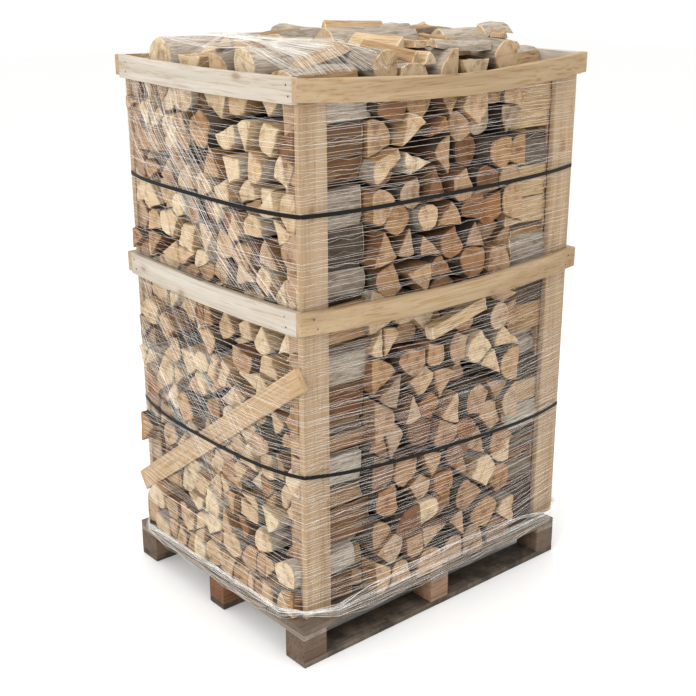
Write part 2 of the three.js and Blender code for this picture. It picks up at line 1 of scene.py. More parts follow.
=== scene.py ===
"""Looks of a board crate of split firewood on a block pallet, wrapped in net and held by two straps."""

import logging
import math
from dataclasses import dataclass, field
from enum import Enum
from itertools import combinations

import bpy
import numpy as np
from mathutils import Matrix, Vector


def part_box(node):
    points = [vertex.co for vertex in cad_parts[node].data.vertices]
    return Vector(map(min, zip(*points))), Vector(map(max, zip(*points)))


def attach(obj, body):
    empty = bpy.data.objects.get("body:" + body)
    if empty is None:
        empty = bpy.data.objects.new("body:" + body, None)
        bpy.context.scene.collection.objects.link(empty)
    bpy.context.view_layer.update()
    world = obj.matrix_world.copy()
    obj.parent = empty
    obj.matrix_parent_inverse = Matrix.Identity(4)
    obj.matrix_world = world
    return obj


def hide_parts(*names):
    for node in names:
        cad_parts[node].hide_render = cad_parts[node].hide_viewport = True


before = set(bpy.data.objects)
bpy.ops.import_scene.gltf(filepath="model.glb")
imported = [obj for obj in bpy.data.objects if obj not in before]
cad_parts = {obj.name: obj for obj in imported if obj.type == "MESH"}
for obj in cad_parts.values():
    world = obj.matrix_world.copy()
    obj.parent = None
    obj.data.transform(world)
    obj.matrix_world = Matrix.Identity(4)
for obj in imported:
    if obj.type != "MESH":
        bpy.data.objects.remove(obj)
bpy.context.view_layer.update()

LOG = logging.getLogger("firewood_crate")
MM = 0.001
UP = np.array((0.0, 0.0, 1.0))
Array = np.ndarray

# The crate, in metres: rails by their upper edges, the brace by its ends along and up the left side,
# and the bands in which rails and straps hold the log ends back.
RAIL_TOPS = {"top": 1.852, "middle": 1.178}
RAIL_OVERLAP = 0.022
BRACE_HIGH = (0.040, 0.972)
BRACE_LOW = (1.012, 0.290)
HELD_BANDS = ((1.090, 1.184), (1.764, 1.860), (1.424, 1.480), (0.585, 0.665))
STACK_TOP = 1.80
NO_LIMIT = -1.0

# The logs: drawn shares from which a log is halved or left whole, a pith outside the log, and ring places.
HALVED_FROM, WHOLE_FROM = 0.6, 0.86
FAR_PITH = np.array((-0.09, 0.01))
FIVE_RINGS = (0.0, 0.25, 0.5, 0.75, 1.0)
TO_NEAR_CORNER = np.array((-0.6, -0.8, 0.0))


def linear(code: str) -> tuple[float, float, float, float]:
    """Turns an sRGB hex colour into linear RGBA.

    Args:
        code: six hex digits.
    Returns:
        The colour as the shader takes it.
    """
    parts = [int(code[i:i + 2], 16) / 255 for i in (0, 2, 4)]
    red, green, blue = (p / 12.92 if p <= 0.04045 else ((p + 0.055) / 1.055) ** 2.4 for p in parts)
    return red, green, blue, 1.0


def per_metre(size_mm: float) -> float:
    """Gives a texture scale whose features are about size_mm wide."""
    return 1.0 / (size_mm * MM)


def wave_scale(size_mm: float) -> float:
    """Gives the scale of a wave texture whose lines repeat every size_mm."""
    return 2 * math.pi / (20 * size_mm * MM)


def add_node(
    tree: bpy.types.NodeTree,
    kind: str,
    inputs: dict | None = None,
    stops: list[tuple[float, str]] | None = None,
    **settings: object,
) -> bpy.types.Node:
    """Adds a node with its settings, values and links.

    Args:
        tree: the material's node tree.
        kind: the node's type name.
        inputs: a value or a socket to link for each input name or number.
        stops: places and hex colours of a colour ramp.
        settings: the node's own properties.
    Returns:
        The new node.
    """
    node = tree.nodes.new(kind)
    for key, value in settings.items():
        setattr(node, key, value)
    for key, value in (inputs or {}).items():
        if isinstance(value, bpy.types.NodeSocket):
            tree.links.new(value, node.inputs[key])
        else:
            node.inputs[key].default_value = value
    if stops:
        ramp = node.color_ramp
        while len(ramp.elements) < len(stops):
            ramp.elements.new(1.0)
        for element, (place, code) in zip(ramp.elements, stops):
            element.position = place
            element.color = linear(code)
    return node


def fresh_material(name: str) -> tuple[bpy.types.Material, bpy.types.NodeTree]:
    """Makes an empty node material and gives it with its tree."""
    material = bpy.data.materials.new(name)
    material.use_nodes = True
    material.node_tree.nodes.clear()
    return material, material.node_tree


def add_mapping(tree: bpy.types.NodeTree, vector: bpy.types.NodeSocket,
                **inputs: tuple[float, float, float]) -> bpy.types.NodeSocket:
    """Adds a mapping of places and gives the mapped place."""
    return add_node(tree, "ShaderNodeMapping", {"Vector": vector, **inputs}).outputs[0]


def add_noise(tree: bpy.types.NodeTree, vector: bpy.types.NodeSocket, size_mm: float, detail: float,
              **inputs: float) -> bpy.types.NodeSocket:
    """Adds a noise pattern.

    Args:
        tree: the material's node tree.
        vector: the place that it reads.
        size_mm: about how wide its features are.
        detail: how many finer layers it has.
        inputs: further values by input name.
    Returns:
        The noise's value.
    """
    values = {"Vector": vector, "Scale": per_metre(size_mm), "Detail": detail, **inputs}
    return add_node(tree, "ShaderNodeTexNoise", values).outputs["Fac"]


def add_ramp(tree: bpy.types.NodeTree, value: bpy.types.NodeSocket,
             *stops: tuple[float, str]) -> bpy.types.NodeSocket:
    """Adds a colour ramp over a value and gives its colour."""
    return add_node(tree, "ShaderNodeValToRGB", {"Fac": value}, list(stops)).outputs[0]


def add_mix(tree: bpy.types.NodeTree, share: object, first: object, second: object,
            kind: str = "MIX") -> bpy.types.NodeSocket:
    """Adds a mix of two colours.

    Args:
        tree: the material's node tree.
        share: how much of the second colour goes in, as a value or a socket.
        first: the first colour.
        second: the second colour.
        kind: how they are mixed.
    Returns:
        The mixed colour.
    """
    inputs = {0: share, 6: first, 7: second}
    return add_node(tree, "ShaderNodeMix", inputs, data_type="RGBA", blend_type=kind).outputs[2]


def add_range(tree: bpy.types.NodeTree, value: bpy.types.NodeSocket, low: float,
              high: float) -> bpy.types.NodeSocket:
    """Spreads a value between 0 and 1 over a range."""
    return add_node(tree, "ShaderNodeMapRange", {"Value": value, "To Min": low, "To Max": high}).outputs[0]


def add_bump(tree: bpy.types.NodeTree, height: bpy.types.NodeSocket, strength: float,
             depth_mm: float) -> bpy.types.NodeSocket:
    """Adds fine relief of a depth and gives its normal."""
    inputs = {"Height": height, "Strength": strength, "Distance": depth_mm * MM}
    return add_node(tree, "ShaderNodeBump", inputs).outputs[0]


def add_surface(tree: bpy.types.NodeTree, inputs: dict) -> None:
    """Adds the surface shader with its inputs, and the material's output."""
    shader = add_node(tree, "ShaderNodeBsdfPrincipled", inputs)
    add_node(tree, "ShaderNodeOutputMaterial", {"Surface": shader.outputs[0]})


def own_place(tree: bpy.types.NodeTree) -> bpy.types.NodeSocket:
    """Gives the place on the piece itself."""
    return add_node(tree, "ShaderNodeTexCoord").outputs["Object"]


def log_place(tree: bpy.types.NodeTree) -> bpy.types.NodeSocket:
    """Gives the place in the log, along it and across from the pith."""
    return add_node(tree, "ShaderNodeAttribute", attribute_name="log_place").outputs["Vector"]


def log_tone(tree: bpy.types.NodeTree) -> bpy.types.NodeSocket:
    """Gives the log's own tone."""
    return add_node(tree, "ShaderNodeAttribute", attribute_name="tone").outputs["Fac"]


class GrainAxis(Enum):
    """Which way a board's grain runs, as the stretch of its pattern."""

    X = (0.035, 1.0, 1.0)
    Y = (1.0, 0.035, 1.0)
    Z = (1.0, 1.0, 0.035)


@dataclass(frozen=True)
class SawnSoftwood:
    """Band-sawn softwood: long grain lines, a few knots and grey or brown weathering in patches."""

    name: str
    pale: str
    dark: str
    axis: GrainAxis
    stain: str = "8a7a66"
    weather: float = 0.1
    turn: float = 0.0
    grain_mm: float = 7.0
    knot_mm: float = 115.0
    knot_stretch: float = 0.45

    def build(self) -> bpy.types.Material:
        """Makes the board material with its grain along the board.

        Returns:
            The finished material.
        """
        material, tree = fresh_material(self.name)
        turned = add_mapping(tree, own_place(tree), Rotation=(self.turn, 0, 0))
        along = add_mapping(tree, turned, Scale=self.axis.value)
        lines = add_noise(tree, along, self.grain_mm, 5.0, Roughness=0.62, Distortion=0.5)
        broad = add_noise(tree, along, 45, 3.0, Roughness=0.55)
        patch = add_noise(tree, turned, 90, 5.0, Roughness=0.65)
        grain = add_ramp(tree, lines, (0.33, self.dark), (0.5, self.pale), (0.74, self.pale))
        shade = add_ramp(tree, broad, (0.3, "d6ccbf"), (0.62, "ffffff"))
        toned = add_mix(tree, 0.75, grain, shade, "MULTIPLY")
        start = 0.78 - 0.5 * self.weather
        worn = add_ramp(tree, patch, (start, "000000"), (min(1.0, start + 0.22), "ffffff"))
        stained = add_mix(tree, worn, toned, linear(self.stain))
        stretch = tuple(self.knot_stretch if s < 1 else 1.0 for s in self.axis.value)
        knot = add_node(tree, "ShaderNodeTexVoronoi", {
            "Vector": add_mapping(tree, turned, Scale=stretch), "Scale": per_metre(self.knot_mm)})
        ring = add_ramp(tree, knot.outputs["Distance"], (0.08, "c9c9c9"), (0.12, "6a6a6a"), (0.19, "000000"))
        knotted = add_mix(tree, ring, stained, linear("7c5530"))
        add_surface(tree, {
            "Base Color": knotted, "Roughness": add_range(tree, lines, 0.88, 0.68),
            "Normal": add_bump(tree, lines, 0.45, 0.9), "Specular IOR Level": 0.3})
        return material


LOG_TONES = [
    (0.0, "dccdb2"), (0.2, "d0bb9c"), (0.38, "c0a585"), (0.52, "a4835f"),
    (0.66, "b59f88"), (0.8, "986d43"), (0.9, "7a5b46"), (1.0, "a89784"),
]


@dataclass(frozen=True)
class SawnLogEnd:
    """Sawn ends of split logs: faint year rings round the pith, drying cracks and a tone of their own."""

    name: str = "sawn_log_end"
    ring_mm: float = 6.5

    def build(self) -> bpy.types.Material:
        """Makes the end grain, centred on each log's pith.

        Returns:
            The finished material.
        """
        material, tree = fresh_material(self.name)
        place, tone, own = log_place(tree), log_tone(tree), own_place(tree)
        rings = add_node(tree, "ShaderNodeTexWave", {
            "Vector": place, "Scale": wave_scale(self.ring_mm), "Distortion": 3.0,
            "Detail": 2.0, "Detail Scale": 1.2}, wave_type="RINGS", rings_direction="X")
        ring_shade = add_ramp(tree, rings.outputs["Fac"], (0.1, "cdbfae"), (0.7, "ffffff"))
        ringed = add_mix(tree, 0.55, add_ramp(tree, tone, *LOG_TONES), ring_shade, "MULTIPLY")
        stain = add_noise(tree, own, 38, 5.0, Roughness=0.65)
        blot = add_ramp(tree, stain, (0.32, "9f8468"), (0.5, "f3ece2"), (0.72, "ffffff"))
        stained = add_mix(tree, 0.8, ringed, blot, "MULTIPLY")
        flat = add_mapping(tree, place, Scale=(0.0, 1.0, 1.0))
        ray = add_node(tree, "ShaderNodeVectorMath", {0: flat}, operation="NORMALIZE")
        shift = add_node(tree, "ShaderNodeMath", {0: tone, 1: 61.0}, operation="MULTIPLY")
        spread = add_node(tree, "ShaderNodeTexNoise", {
            "Vector": ray.outputs[0], "W": shift.outputs[0], "Scale": 2.6, "Detail": 1.0},
            noise_dimensions="4D")
        crack = add_ramp(tree, spread.outputs["Fac"], (0.485, "000000"), (0.5, "a8a8a8"), (0.515, "000000"))
        cracked = add_mix(tree, crack, stained, linear("6b4a2e"))
        saw = add_noise(tree, own, 3, 3.0)
        add_surface(tree, {
            "Base Color": cracked, "Roughness": add_range(tree, saw, 0.72, 0.95),
            "Normal": add_bump(tree, saw, 0.5, 0.8), "Specular IOR Level": 0.25})
        return material


@dataclass(frozen=True)
class SplitLogFace:
    """Riven faces of split logs: fibres torn along the log, pale to orange brown."""

    name: str = "split_log_face"

    def build(self) -> bpy.types.Material:
        """Makes the riven wood with its fibres along each log.

        Returns:
            The finished material.
        """
        material, tree = fresh_material(self.name)
        base = add_ramp(tree, log_tone(tree), (0.0, "cbb797"), (0.3, "a38663"), (0.55, "74533a"),
                        (0.75, "7f634a"), (1.0, "624835"))
        along = add_mapping(tree, log_place(tree), Scale=(0.07, 1.0, 1.0))
        fibre = add_noise(tree, along, 6, 6.0, Roughness=0.7, Distortion=0.4)
        streak = add_ramp(tree, fibre, (0.3, "7d5f43"), (0.5, "e6d8c4"), (0.7, "ffffff"))
        torn = add_mix(tree, 0.85, base, streak, "MULTIPLY")
        add_surface(tree, {
            "Base Color": torn, "Roughness": add_range(tree, fibre, 0.92, 0.7),
            "Normal": add_bump(tree, fibre, 0.7, 2.2), "Specular IOR Level": 0.25})
        return material


@dataclass(frozen=True)
class LogBark:
    """Bark of the logs: grey-brown, furrowed along the log, with paler weathered patches; its darker tones
    are partly painted shade for the gaps between the logs.
    """

    name: str = "log_bark"

    def build(self) -> bpy.types.Material:
        """Makes the bark with its furrows along each log.

        Returns:
            The finished material.
        """
        material, tree = fresh_material(self.name)
        # The darker tones, from 0.42 on, are partly the bark's own grey-brown and partly painted shade, so
        # that bark seen in the gaps between the logs looks dark.
        base = add_ramp(tree, log_tone(tree), (0.0, "c6bdb2"), (0.25, "aaa094"), (0.42, "5c5046"),
                        (0.6, "5f544a"), (1.0, "43382f"))
        along = add_mapping(tree, log_place(tree), Scale=(0.16, 1.0, 1.0))
        furrow = add_noise(tree, along, 11, 6.0, Roughness=0.68)
        plate = add_node(tree, "ShaderNodeTexVoronoi", {
            "Vector": along, "Scale": per_metre(9)}, feature="DISTANCE_TO_EDGE")
        deep = add_ramp(tree, plate.outputs["Distance"], (0.0, "6a5b4b"), (0.09, "e9e4dc"), (0.3, "ffffff"))
        worn = add_ramp(tree, furrow, (0.3, "86786a"), (0.5, "e2dcd3"), (0.7, "ffffff"))
        furrowed = add_mix(tree, 0.9, add_mix(tree, 0.22, base, deep, "MULTIPLY"), worn, "MULTIPLY")
        lichen = add_noise(tree, own_place(tree), 34, 4.0, Roughness=0.6)
        pale = add_ramp(tree, lichen, (0.58, "000000"), (0.72, "7a7a7a"))
        add_surface(tree, {
            "Base Color": add_mix(tree, pale, furrowed, linear("8f877c")),
            "Roughness": add_range(tree, furrow, 0.95, 0.78),
            "Normal": add_bump(tree, furrow, 0.9, 3.0), "Specular IOR Level": 0.2})
        return material


@dataclass(frozen=True)
class BlackStrapping:
    """Embossed black plastic strapping: fine crossed ribs, dust in them and a slight sheen."""

    name: str = "black_strapping"
    rib_mm: float = 2.4

    def build(self) -> bpy.types.Material:
        """Makes the strap plastic.

        Returns:
            The finished material.
        """
        material, tree = fresh_material(self.name)
        place = own_place(tree)
        rib = add_node(tree, "ShaderNodeTexWave", {
            "Vector": place, "Scale": wave_scale(self.rib_mm)}, bands_direction="DIAGONAL")
        dust = add_noise(tree, place, 25, 4.0)
        add_surface(tree, {
            "Base Color": add_ramp(tree, dust, (0.4, "040404"), (0.75, "0d0c0c")),
            "Roughness": add_range(tree, dust, 0.45, 0.65),
            "Normal": add_bump(tree, rib.outputs["Fac"], 0.35, 0.25), "Specular IOR Level": 0.2})
        return material


@dataclass(frozen=True)
class WhiteNetThread:
    """White knitted net thread: bright plastic tape, a little dusty here and there."""

    name: str = "white_net_thread"

    def build(self) -> bpy.types.Material:
        """Makes the net plastic.

        Returns:
            The finished material.
        """
        material, tree = fresh_material(self.name)
        dust = add_noise(tree, own_place(tree), 60, 3.0)
        add_surface(tree, {
            "Base Color": add_ramp(tree, dust, (0.35, "dfdbd3"), (0.6, "fbfaf6")),
            "Roughness": add_range(tree, dust, 0.55, 0.35), "Sheen Weight": 0.2})
        return material


@dataclass(frozen=True)
class NailSteel:
    """Bright nail heads going dull, with a brown bloom of rust."""

    name: str = "nail_steel"

    def build(self) -> bpy.types.Material:
        """Makes the nail steel.

        Returns:
            The finished material.
        """
        material, tree = fresh_material(self.name)
        rust = add_noise(tree, own_place(tree), 5, 4.0)
        add_surface(tree, {
            "Base Color": add_ramp(tree, rust, (0.4, "3d332c"), (0.62, "6f6a66")),
            "Roughness": add_range(tree, rust, 0.75, 0.45), "Metallic": 0.8})
        return material


@dataclass(frozen=True)
class PaleFloor:
    """Plain pale floor paint."""

    name: str = "pale_floor"

    def build(self) -> bpy.types.Material:
        """Makes the floor paint."""
        material, tree = fresh_material(self.name)
        add_surface(tree, {"Base Color": linear("fefefd"), "Roughness": 0.9, "Specular IOR Level": 0.1})
        return material


def only(piece: bpy.types.Object) -> None:
    """Selects one piece alone and makes it active."""
    bpy.ops.object.select_all(action="DESELECT")
    piece.select_set(True)
    bpy.context.view_layer.objects.active = piece


def settle(piece: bpy.types.Object, slot: str, *nodes: str) -> None:
    """Puts a piece on the load's one body and hides the CAD nodes it stands for.

    Args:
        piece: the finished piece.
        slot: not used.
        nodes: names of the CAD nodes it replaces.
    """
    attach(piece, "root")
    if nodes:
        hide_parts(*nodes)
    faces = sum(len(face.vertices) - 2 for face in piece.data.polygons)
    LOG.info("%s: %d triangles", piece.name, faces)


@dataclass
class JoinedMesh:
    """Many small shapes gathered as arrays into one piece."""

    vertices: list[Array] = field(default_factory=list)
    faces: list[tuple[int, ...]] = field(default_factory=list)
    kinds: list[int] = field(default_factory=list)
    places: list[Array] = field(default_factory=list)
    tones: list[Array] = field(default_factory=list)
    count: int = 0

    def add(self, vertices: Array, faces: list[tuple[int, ...]], kinds: list[int],
            places: Array | None = None, tone: float = 0.0) -> None:
        """Adds one shape.

        Args:
            vertices: its points.
            faces: its faces, numbered from its own first point.
            kinds: the material number of each face.
            places: each point's place in the log, along it and across from the pith.
            tone: the log's tone.
        """
        self.faces.extend(tuple(i + self.count for i in face) for face in faces)
        self.vertices.append(vertices)
        self.kinds.extend(kinds)
        self.places.append(np.zeros((len(vertices), 3)) if places is None else places)
        self.tones.append(np.full(len(vertices), tone))
        self.count += len(vertices)

    def piece(self, name: str, materials: list[bpy.types.Material], logs: bool = True) -> bpy.types.Object:
        """Makes the piece.

        Args:
            name: the piece's name.
            materials: its materials, in the order of the kinds.
            logs: whether the log attributes are written.
        Returns:
            The new object.
        """
        mesh = bpy.data.meshes.new(name)
        mesh.from_pydata(np.concatenate(self.vertices).tolist(), [], self.faces)
        for material in materials:
            mesh.materials.append(material)
        mesh.polygons.foreach_set("material_index", self.kinds)
        if logs:
            place = mesh.attributes.new("log_place", "FLOAT_VECTOR", "POINT")
            place.data.foreach_set("vector", np.concatenate(self.places).astype(np.float32).ravel())
            tone = mesh.attributes.new("tone", "FLOAT", "POINT")
            tone.data.foreach_set("value", np.concatenate(self.tones).astype(np.float32))
        mesh.update()
        piece = bpy.data.objects.new(name, mesh)
        bpy.context.scene.collection.objects.link(piece)
        only(piece)
        bpy.ops.object.shade_smooth_by_angle(angle=math.radians(34))
        return piece


def corner_turns(outline: Array) -> Array:
    """Gives how far an outline turns at each corner, in radians."""
    edges = np.roll(outline, -1, axis=0) - outline
    before = np.roll(edges, 1, axis=0)
    return np.arctan2(before[:, 0] * edges[:, 1] - before[:, 1] * edges[:, 0], (before * edges).sum(axis=1))


def area_of(outline: Array) -> float:
    """Gives the area inside an outline."""
    after = np.roll(outline, -1, axis=0)
    return 0.5 * abs(float((outline[:, 0] * after[:, 1] - outline[:, 1] * after[:, 0]).sum()))


class LogFace(Enum):
    """The kinds of surface on a log, numbered as its materials."""

    SAWN = 0
    SPLIT = 1
    BARK = 2


@dataclass
class SplitLog:
    """One split log: its section, where its visible end is, which way it lies and how long it is."""

    outline: Array
    origin: Array
    across: Array
    up: Array
    length: float
    rng: np.random.Generator
    tone: float = 0.3
    step: float = 0.03
    bark: Array | None = None
    pith: Array | None = None
    swell_limit: float = 0.006
    wedges: float = 0.42
    corners: int = 4
    rings: tuple[float, ...] = (0.0, 0.36, 0.7, 1.0)

    def choose_pith(self) -> None:
        """Decides how the log was split: its corners, where the pith was and which edges still carry bark."""
        total = len(self.outline)
        draw = self.rng.random()
        keep = 3 if draw < self.wedges else self.corners
        if draw < WHOLE_FROM and total > keep:
            choices = list(combinations(range(total), keep))
            sizes = [area_of(self.outline[list(pick)]) * self.rng.uniform(0.8, 1.0) for pick in choices]
            self.outline = self.outline[list(choices[int(np.argmax(sizes))])]
        edges = np.roll(self.outline, -1, axis=0) - self.outline
        lengths = np.linalg.norm(edges, axis=1)
        turns = corner_turns(self.outline)
        middle = self.outline.mean(axis=0)
        if draw < HALVED_FROM:
            self.pith = self.outline[int(np.argmax(turns))] * 0.94 + middle * 0.06
        elif draw < WHOLE_FROM:
            widest = int(np.argmax(lengths))
            self.pith = self.outline[widest] + edges[widest] / 2
        else:
            self.pith = middle
        reach = np.linalg.norm(self.outline + edges / 2 - self.pith, axis=1)
        self.bark = reach > (0.0 if draw >= WHOLE_FROM else 0.8 * reach.max())
        self.swell_limit = 0.006 if draw >= WHOLE_FROM else 0.008

    def fine_outline(self) -> tuple[Array, Array]:
        """Breaks the section's edges into short runs: bark swells out, split edges are uneven.

        Returns:
            The points and, for each, whether the run that starts there carries bark.
        """
        points, flags = [], []
        total = len(self.outline)
        for index in range(total):
            start, end = self.outline[index], self.outline[(index + 1) % total]
            run = end - start
            length = float(np.linalg.norm(run))
            if length < 1e-6:
                continue
            out = np.array((run[1], -run[0])) / length
            barked = bool(self.bark[index])
            parts = max(1, math.ceil(length / self.step))
            rise = min(self.swell_limit, 0.15 * length) if barked else 0.0
            for part in range(parts):
                share = part / parts
                uneven = self.rng.normal(0.0, 0.0011 if barked else 0.0022) if part else 0.0
                points.append(start + run * share + out * (rise * 4 * share * (1 - share) + uneven))
                flags.append(barked)
        return np.array(points), np.array(flags)

    def into(self, joined: JoinedMesh) -> None:
        """Builds the log and adds it to a joined mesh.

        Args:
            joined: the mesh that gathers the logs.
        """
        if self.bark is None or self.pith is None:
            self.choose_pith()
        points, flags = self.fine_outline()
        axis = np.cross(self.across, self.up)
        middle = points.mean(axis=0)
        size = len(points)
        tilt = self.rng.normal(0.0, 0.045, 2)
        inset = 0.0025 / max(0.02, float(np.linalg.norm(points - middle, axis=1).mean()))
        stations = [(0.0, 1.0 - inset)]
        for ring in self.rings:
            taper = 1.0 + self.rng.normal(0.0, 0.015) * ring
            stations.append((max(0.004, ring * self.length - (0.004 if ring == 1.0 else 0.0)), taper))
        stations.append((self.length, stations[-1][1] - inset))
        bend = self.rng.normal(0.0, 0.004, 2)
        vertices, places = [], []
        for depth, scale in stations:
            share = depth / self.length
            ring = middle + (points - middle) * scale + bend * 4 * share * (1 - share)
            if 0.05 < share < 0.95:
                ring = ring + self.rng.normal(0.0, 0.0014, ring.shape)
            slant = (ring - middle) @ tilt
            offset = -depth + slant
            section = self.origin + ring[:, :1] * self.across + ring[:, 1:] * self.up
            vertices.append(section + offset[:, None] * axis)
            places.append(np.column_stack((offset, ring - self.pith)))
        faces, kinds = [tuple(range(size))], [LogFace.SAWN.value]
        last = len(stations) - 1
        for ring in range(last):
            for i in range(size):
                j = (i + 1) % size
                faces.append((ring * size + i, (ring + 1) * size + i, (ring + 1) * size + j, ring * size + j))
                edge = LogFace.BARK if flags[i] else LogFace.SPLIT
                kinds.append(LogFace.SAWN.value if ring in (0, last - 1) else edge.value)
        faces.append(tuple(last * size + i for i in reversed(range(size))))
        kinds.append(LogFace.SAWN.value)
        where = np.concatenate(places) + np.array((self.tone * 7.0, 0.0, 0.0))
        joined.add(np.concatenate(vertices), faces, kinds, where, self.tone)


def node_triangles(name: str) -> tuple[Array, Array]:
    """Reads a CAD node's points and triangles.

    Args:
        name: the node's name.
    Returns:
        The merged points and the triangles' corner numbers.
    """
    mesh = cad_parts[name].data
    places = np.empty(len(mesh.vertices) * 3)
    mesh.vertices.foreach_get("co", places)
    mesh.calc_loop_triangles()
    corners = np.empty(len(mesh.loop_triangles) * 3, dtype=np.int64)
    mesh.loop_triangles.foreach_get("vertices", corners)
    merged, back = np.unique(np.round(places.reshape(-1, 3), 5), axis=0, return_inverse=True)
    return merged, back.ravel()[corners].reshape(-1, 3)


def anticlockwise(points: Array) -> Array:
    """Orders the corners of a convex outline anticlockwise."""
    rest = points - points.mean(axis=0)
    return points[np.argsort(np.arctan2(rest[:, 1], rest[:, 0]))]


def cut_outline(outline: Array, point: Array, normal: Array) -> Array:
    """Keeps the part of a convex outline that lies behind a line.

    Args:
        outline: the corners.
        point: a point on the line.
        normal: the line's normal, towards the part cut away.
    Returns:
        The corners of what is left.
    """
    kept = []
    for index, start in enumerate(outline):
        end = outline[(index + 1) % len(outline)]
        a, b = float((start - point) @ normal), float((end - point) @ normal)
        if a <= 0:
            kept.append(start)
        if a * b < 0:
            kept.append(start + (end - start) * (a / (a - b)))
    return np.array(kept)


@dataclass(frozen=True)
class LoadSide:
    """One upright side of the load: its start corner, the way along it and the way out of it."""

    name: str
    start: tuple[float, float]
    along: tuple[float, float]
    out: tuple[float, float]
    length: float
    long: bool

    def axes(self) -> tuple[Array, Array]:
        """Gives the directions along the side and out of it in space."""
        return np.array((*self.along, 0.0)), np.array((*self.out, 0.0))

    @property
    def base(self) -> Array:
        """Gives the side's start corner in space."""
        return np.array((*self.start, 0.0))

    def place(self, u: Array, z: Array, w: Array) -> Array:
        """Gives points in space from places along, up and out of the side."""
        along, out = self.axes()
        return self.base + np.outer(u, along) + np.outer(w, out) + np.outer(z, UP)

    def outs(self, count: int) -> Array:
        """Repeats the way out of the side for a number of points."""
        return np.repeat(self.axes()[1][None], count, axis=0)

    def bowed(self, u: Array) -> Array:
        """Gives how far the rails bow at places along the side, 1 in the middle."""
        over = RAIL_OVERLAP if self.long else 0.0
        return arch((u + over) / (self.length + 2 * over))

    def faces_of(self, node: str) -> list[tuple[Array, float]]:
        """Finds the flat faces of a node that look out of this side.

        Args:
            node: the CAD node's name.
        Returns:
            Each face's outline along and up the side, and how far out it lies.
        """
        along, out = self.axes()
        points, triangles = node_triangles(node)
        a, b, c = (points[triangles[:, i]] for i in range(3))
        normals = np.cross(b - a, c - a)
        sizes = np.linalg.norm(normals, axis=1)
        facing = (normals @ out) > 0.9995 * np.maximum(sizes, 1e-12)
        parent = np.arange(len(points))

        def root(i: int) -> int:
            """Follows a point to the first of its face."""
            while parent[i] != i:
                i = parent[i]
            return i

        chosen = triangles[facing]
        for triangle in chosen:
            first = root(triangle[0])
            for corner in triangle[1:]:
                parent[root(corner)] = first
        groups: dict[int, set[int]] = {}
        for triangle in chosen:
            groups.setdefault(root(triangle[0]), set()).update(int(i) for i in triangle)
        found = []
        for members in groups.values():
            local = points[sorted(members)] - self.base
            outline = anticlockwise(np.column_stack((local @ along, local[:, 2])))
            if area_of(outline) > 6e-4:
                found.append((outline, float((local @ out).mean())))
        return sorted(found, key=lambda face: (face[0].mean(axis=0)[1], face[0].mean(axis=0)[0]))


def brace_line(reach: Array) -> Array:
    """Gives the height of the brace's middle line at places from its upper end along the left side."""
    share = reach / (BRACE_LOW[0] - BRACE_HIGH[0])
    return BRACE_HIGH[1] - 0.012 + (BRACE_LOW[1] - BRACE_HIGH[1]) * share


def load_sides() -> dict[str, LoadSide]:
    """Finds the load's four upright sides from its posts.

    Returns:
        The sides by name, anticlockwise from the broad front.
    """
    low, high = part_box("post_front_left")[0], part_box("post_back_right")[1]
    wide, deep = high.x - low.x, high.y - low.y
    return {
        "front": LoadSide("front", (low.x, low.y), (1.0, 0.0), (0.0, -1.0), wide, True),
        "right": LoadSide("right", (high.x, low.y), (0.0, 1.0), (1.0, 0.0), deep, False),
        "back": LoadSide("back", (high.x, high.y), (-1.0, 0.0), (0.0, 1.0), wide, True),
        "left": LoadSide("left", (low.x, high.y), (0.0, -1.0), (-1.0, 0.0), deep, False),
    }


def arch(share: Array) -> Array:
    """Rises from 0 at both ends to 1 in the middle."""
    return np.clip(4 * share * (1 - share), 0.0, 1.0)


def swell(share: Array) -> Array:
    """Rises soon from 0 at both ends and stays level at 1 along the middle."""
    return np.clip(1 - (2 * share - 1) ** 4, 0.0, 1.0)


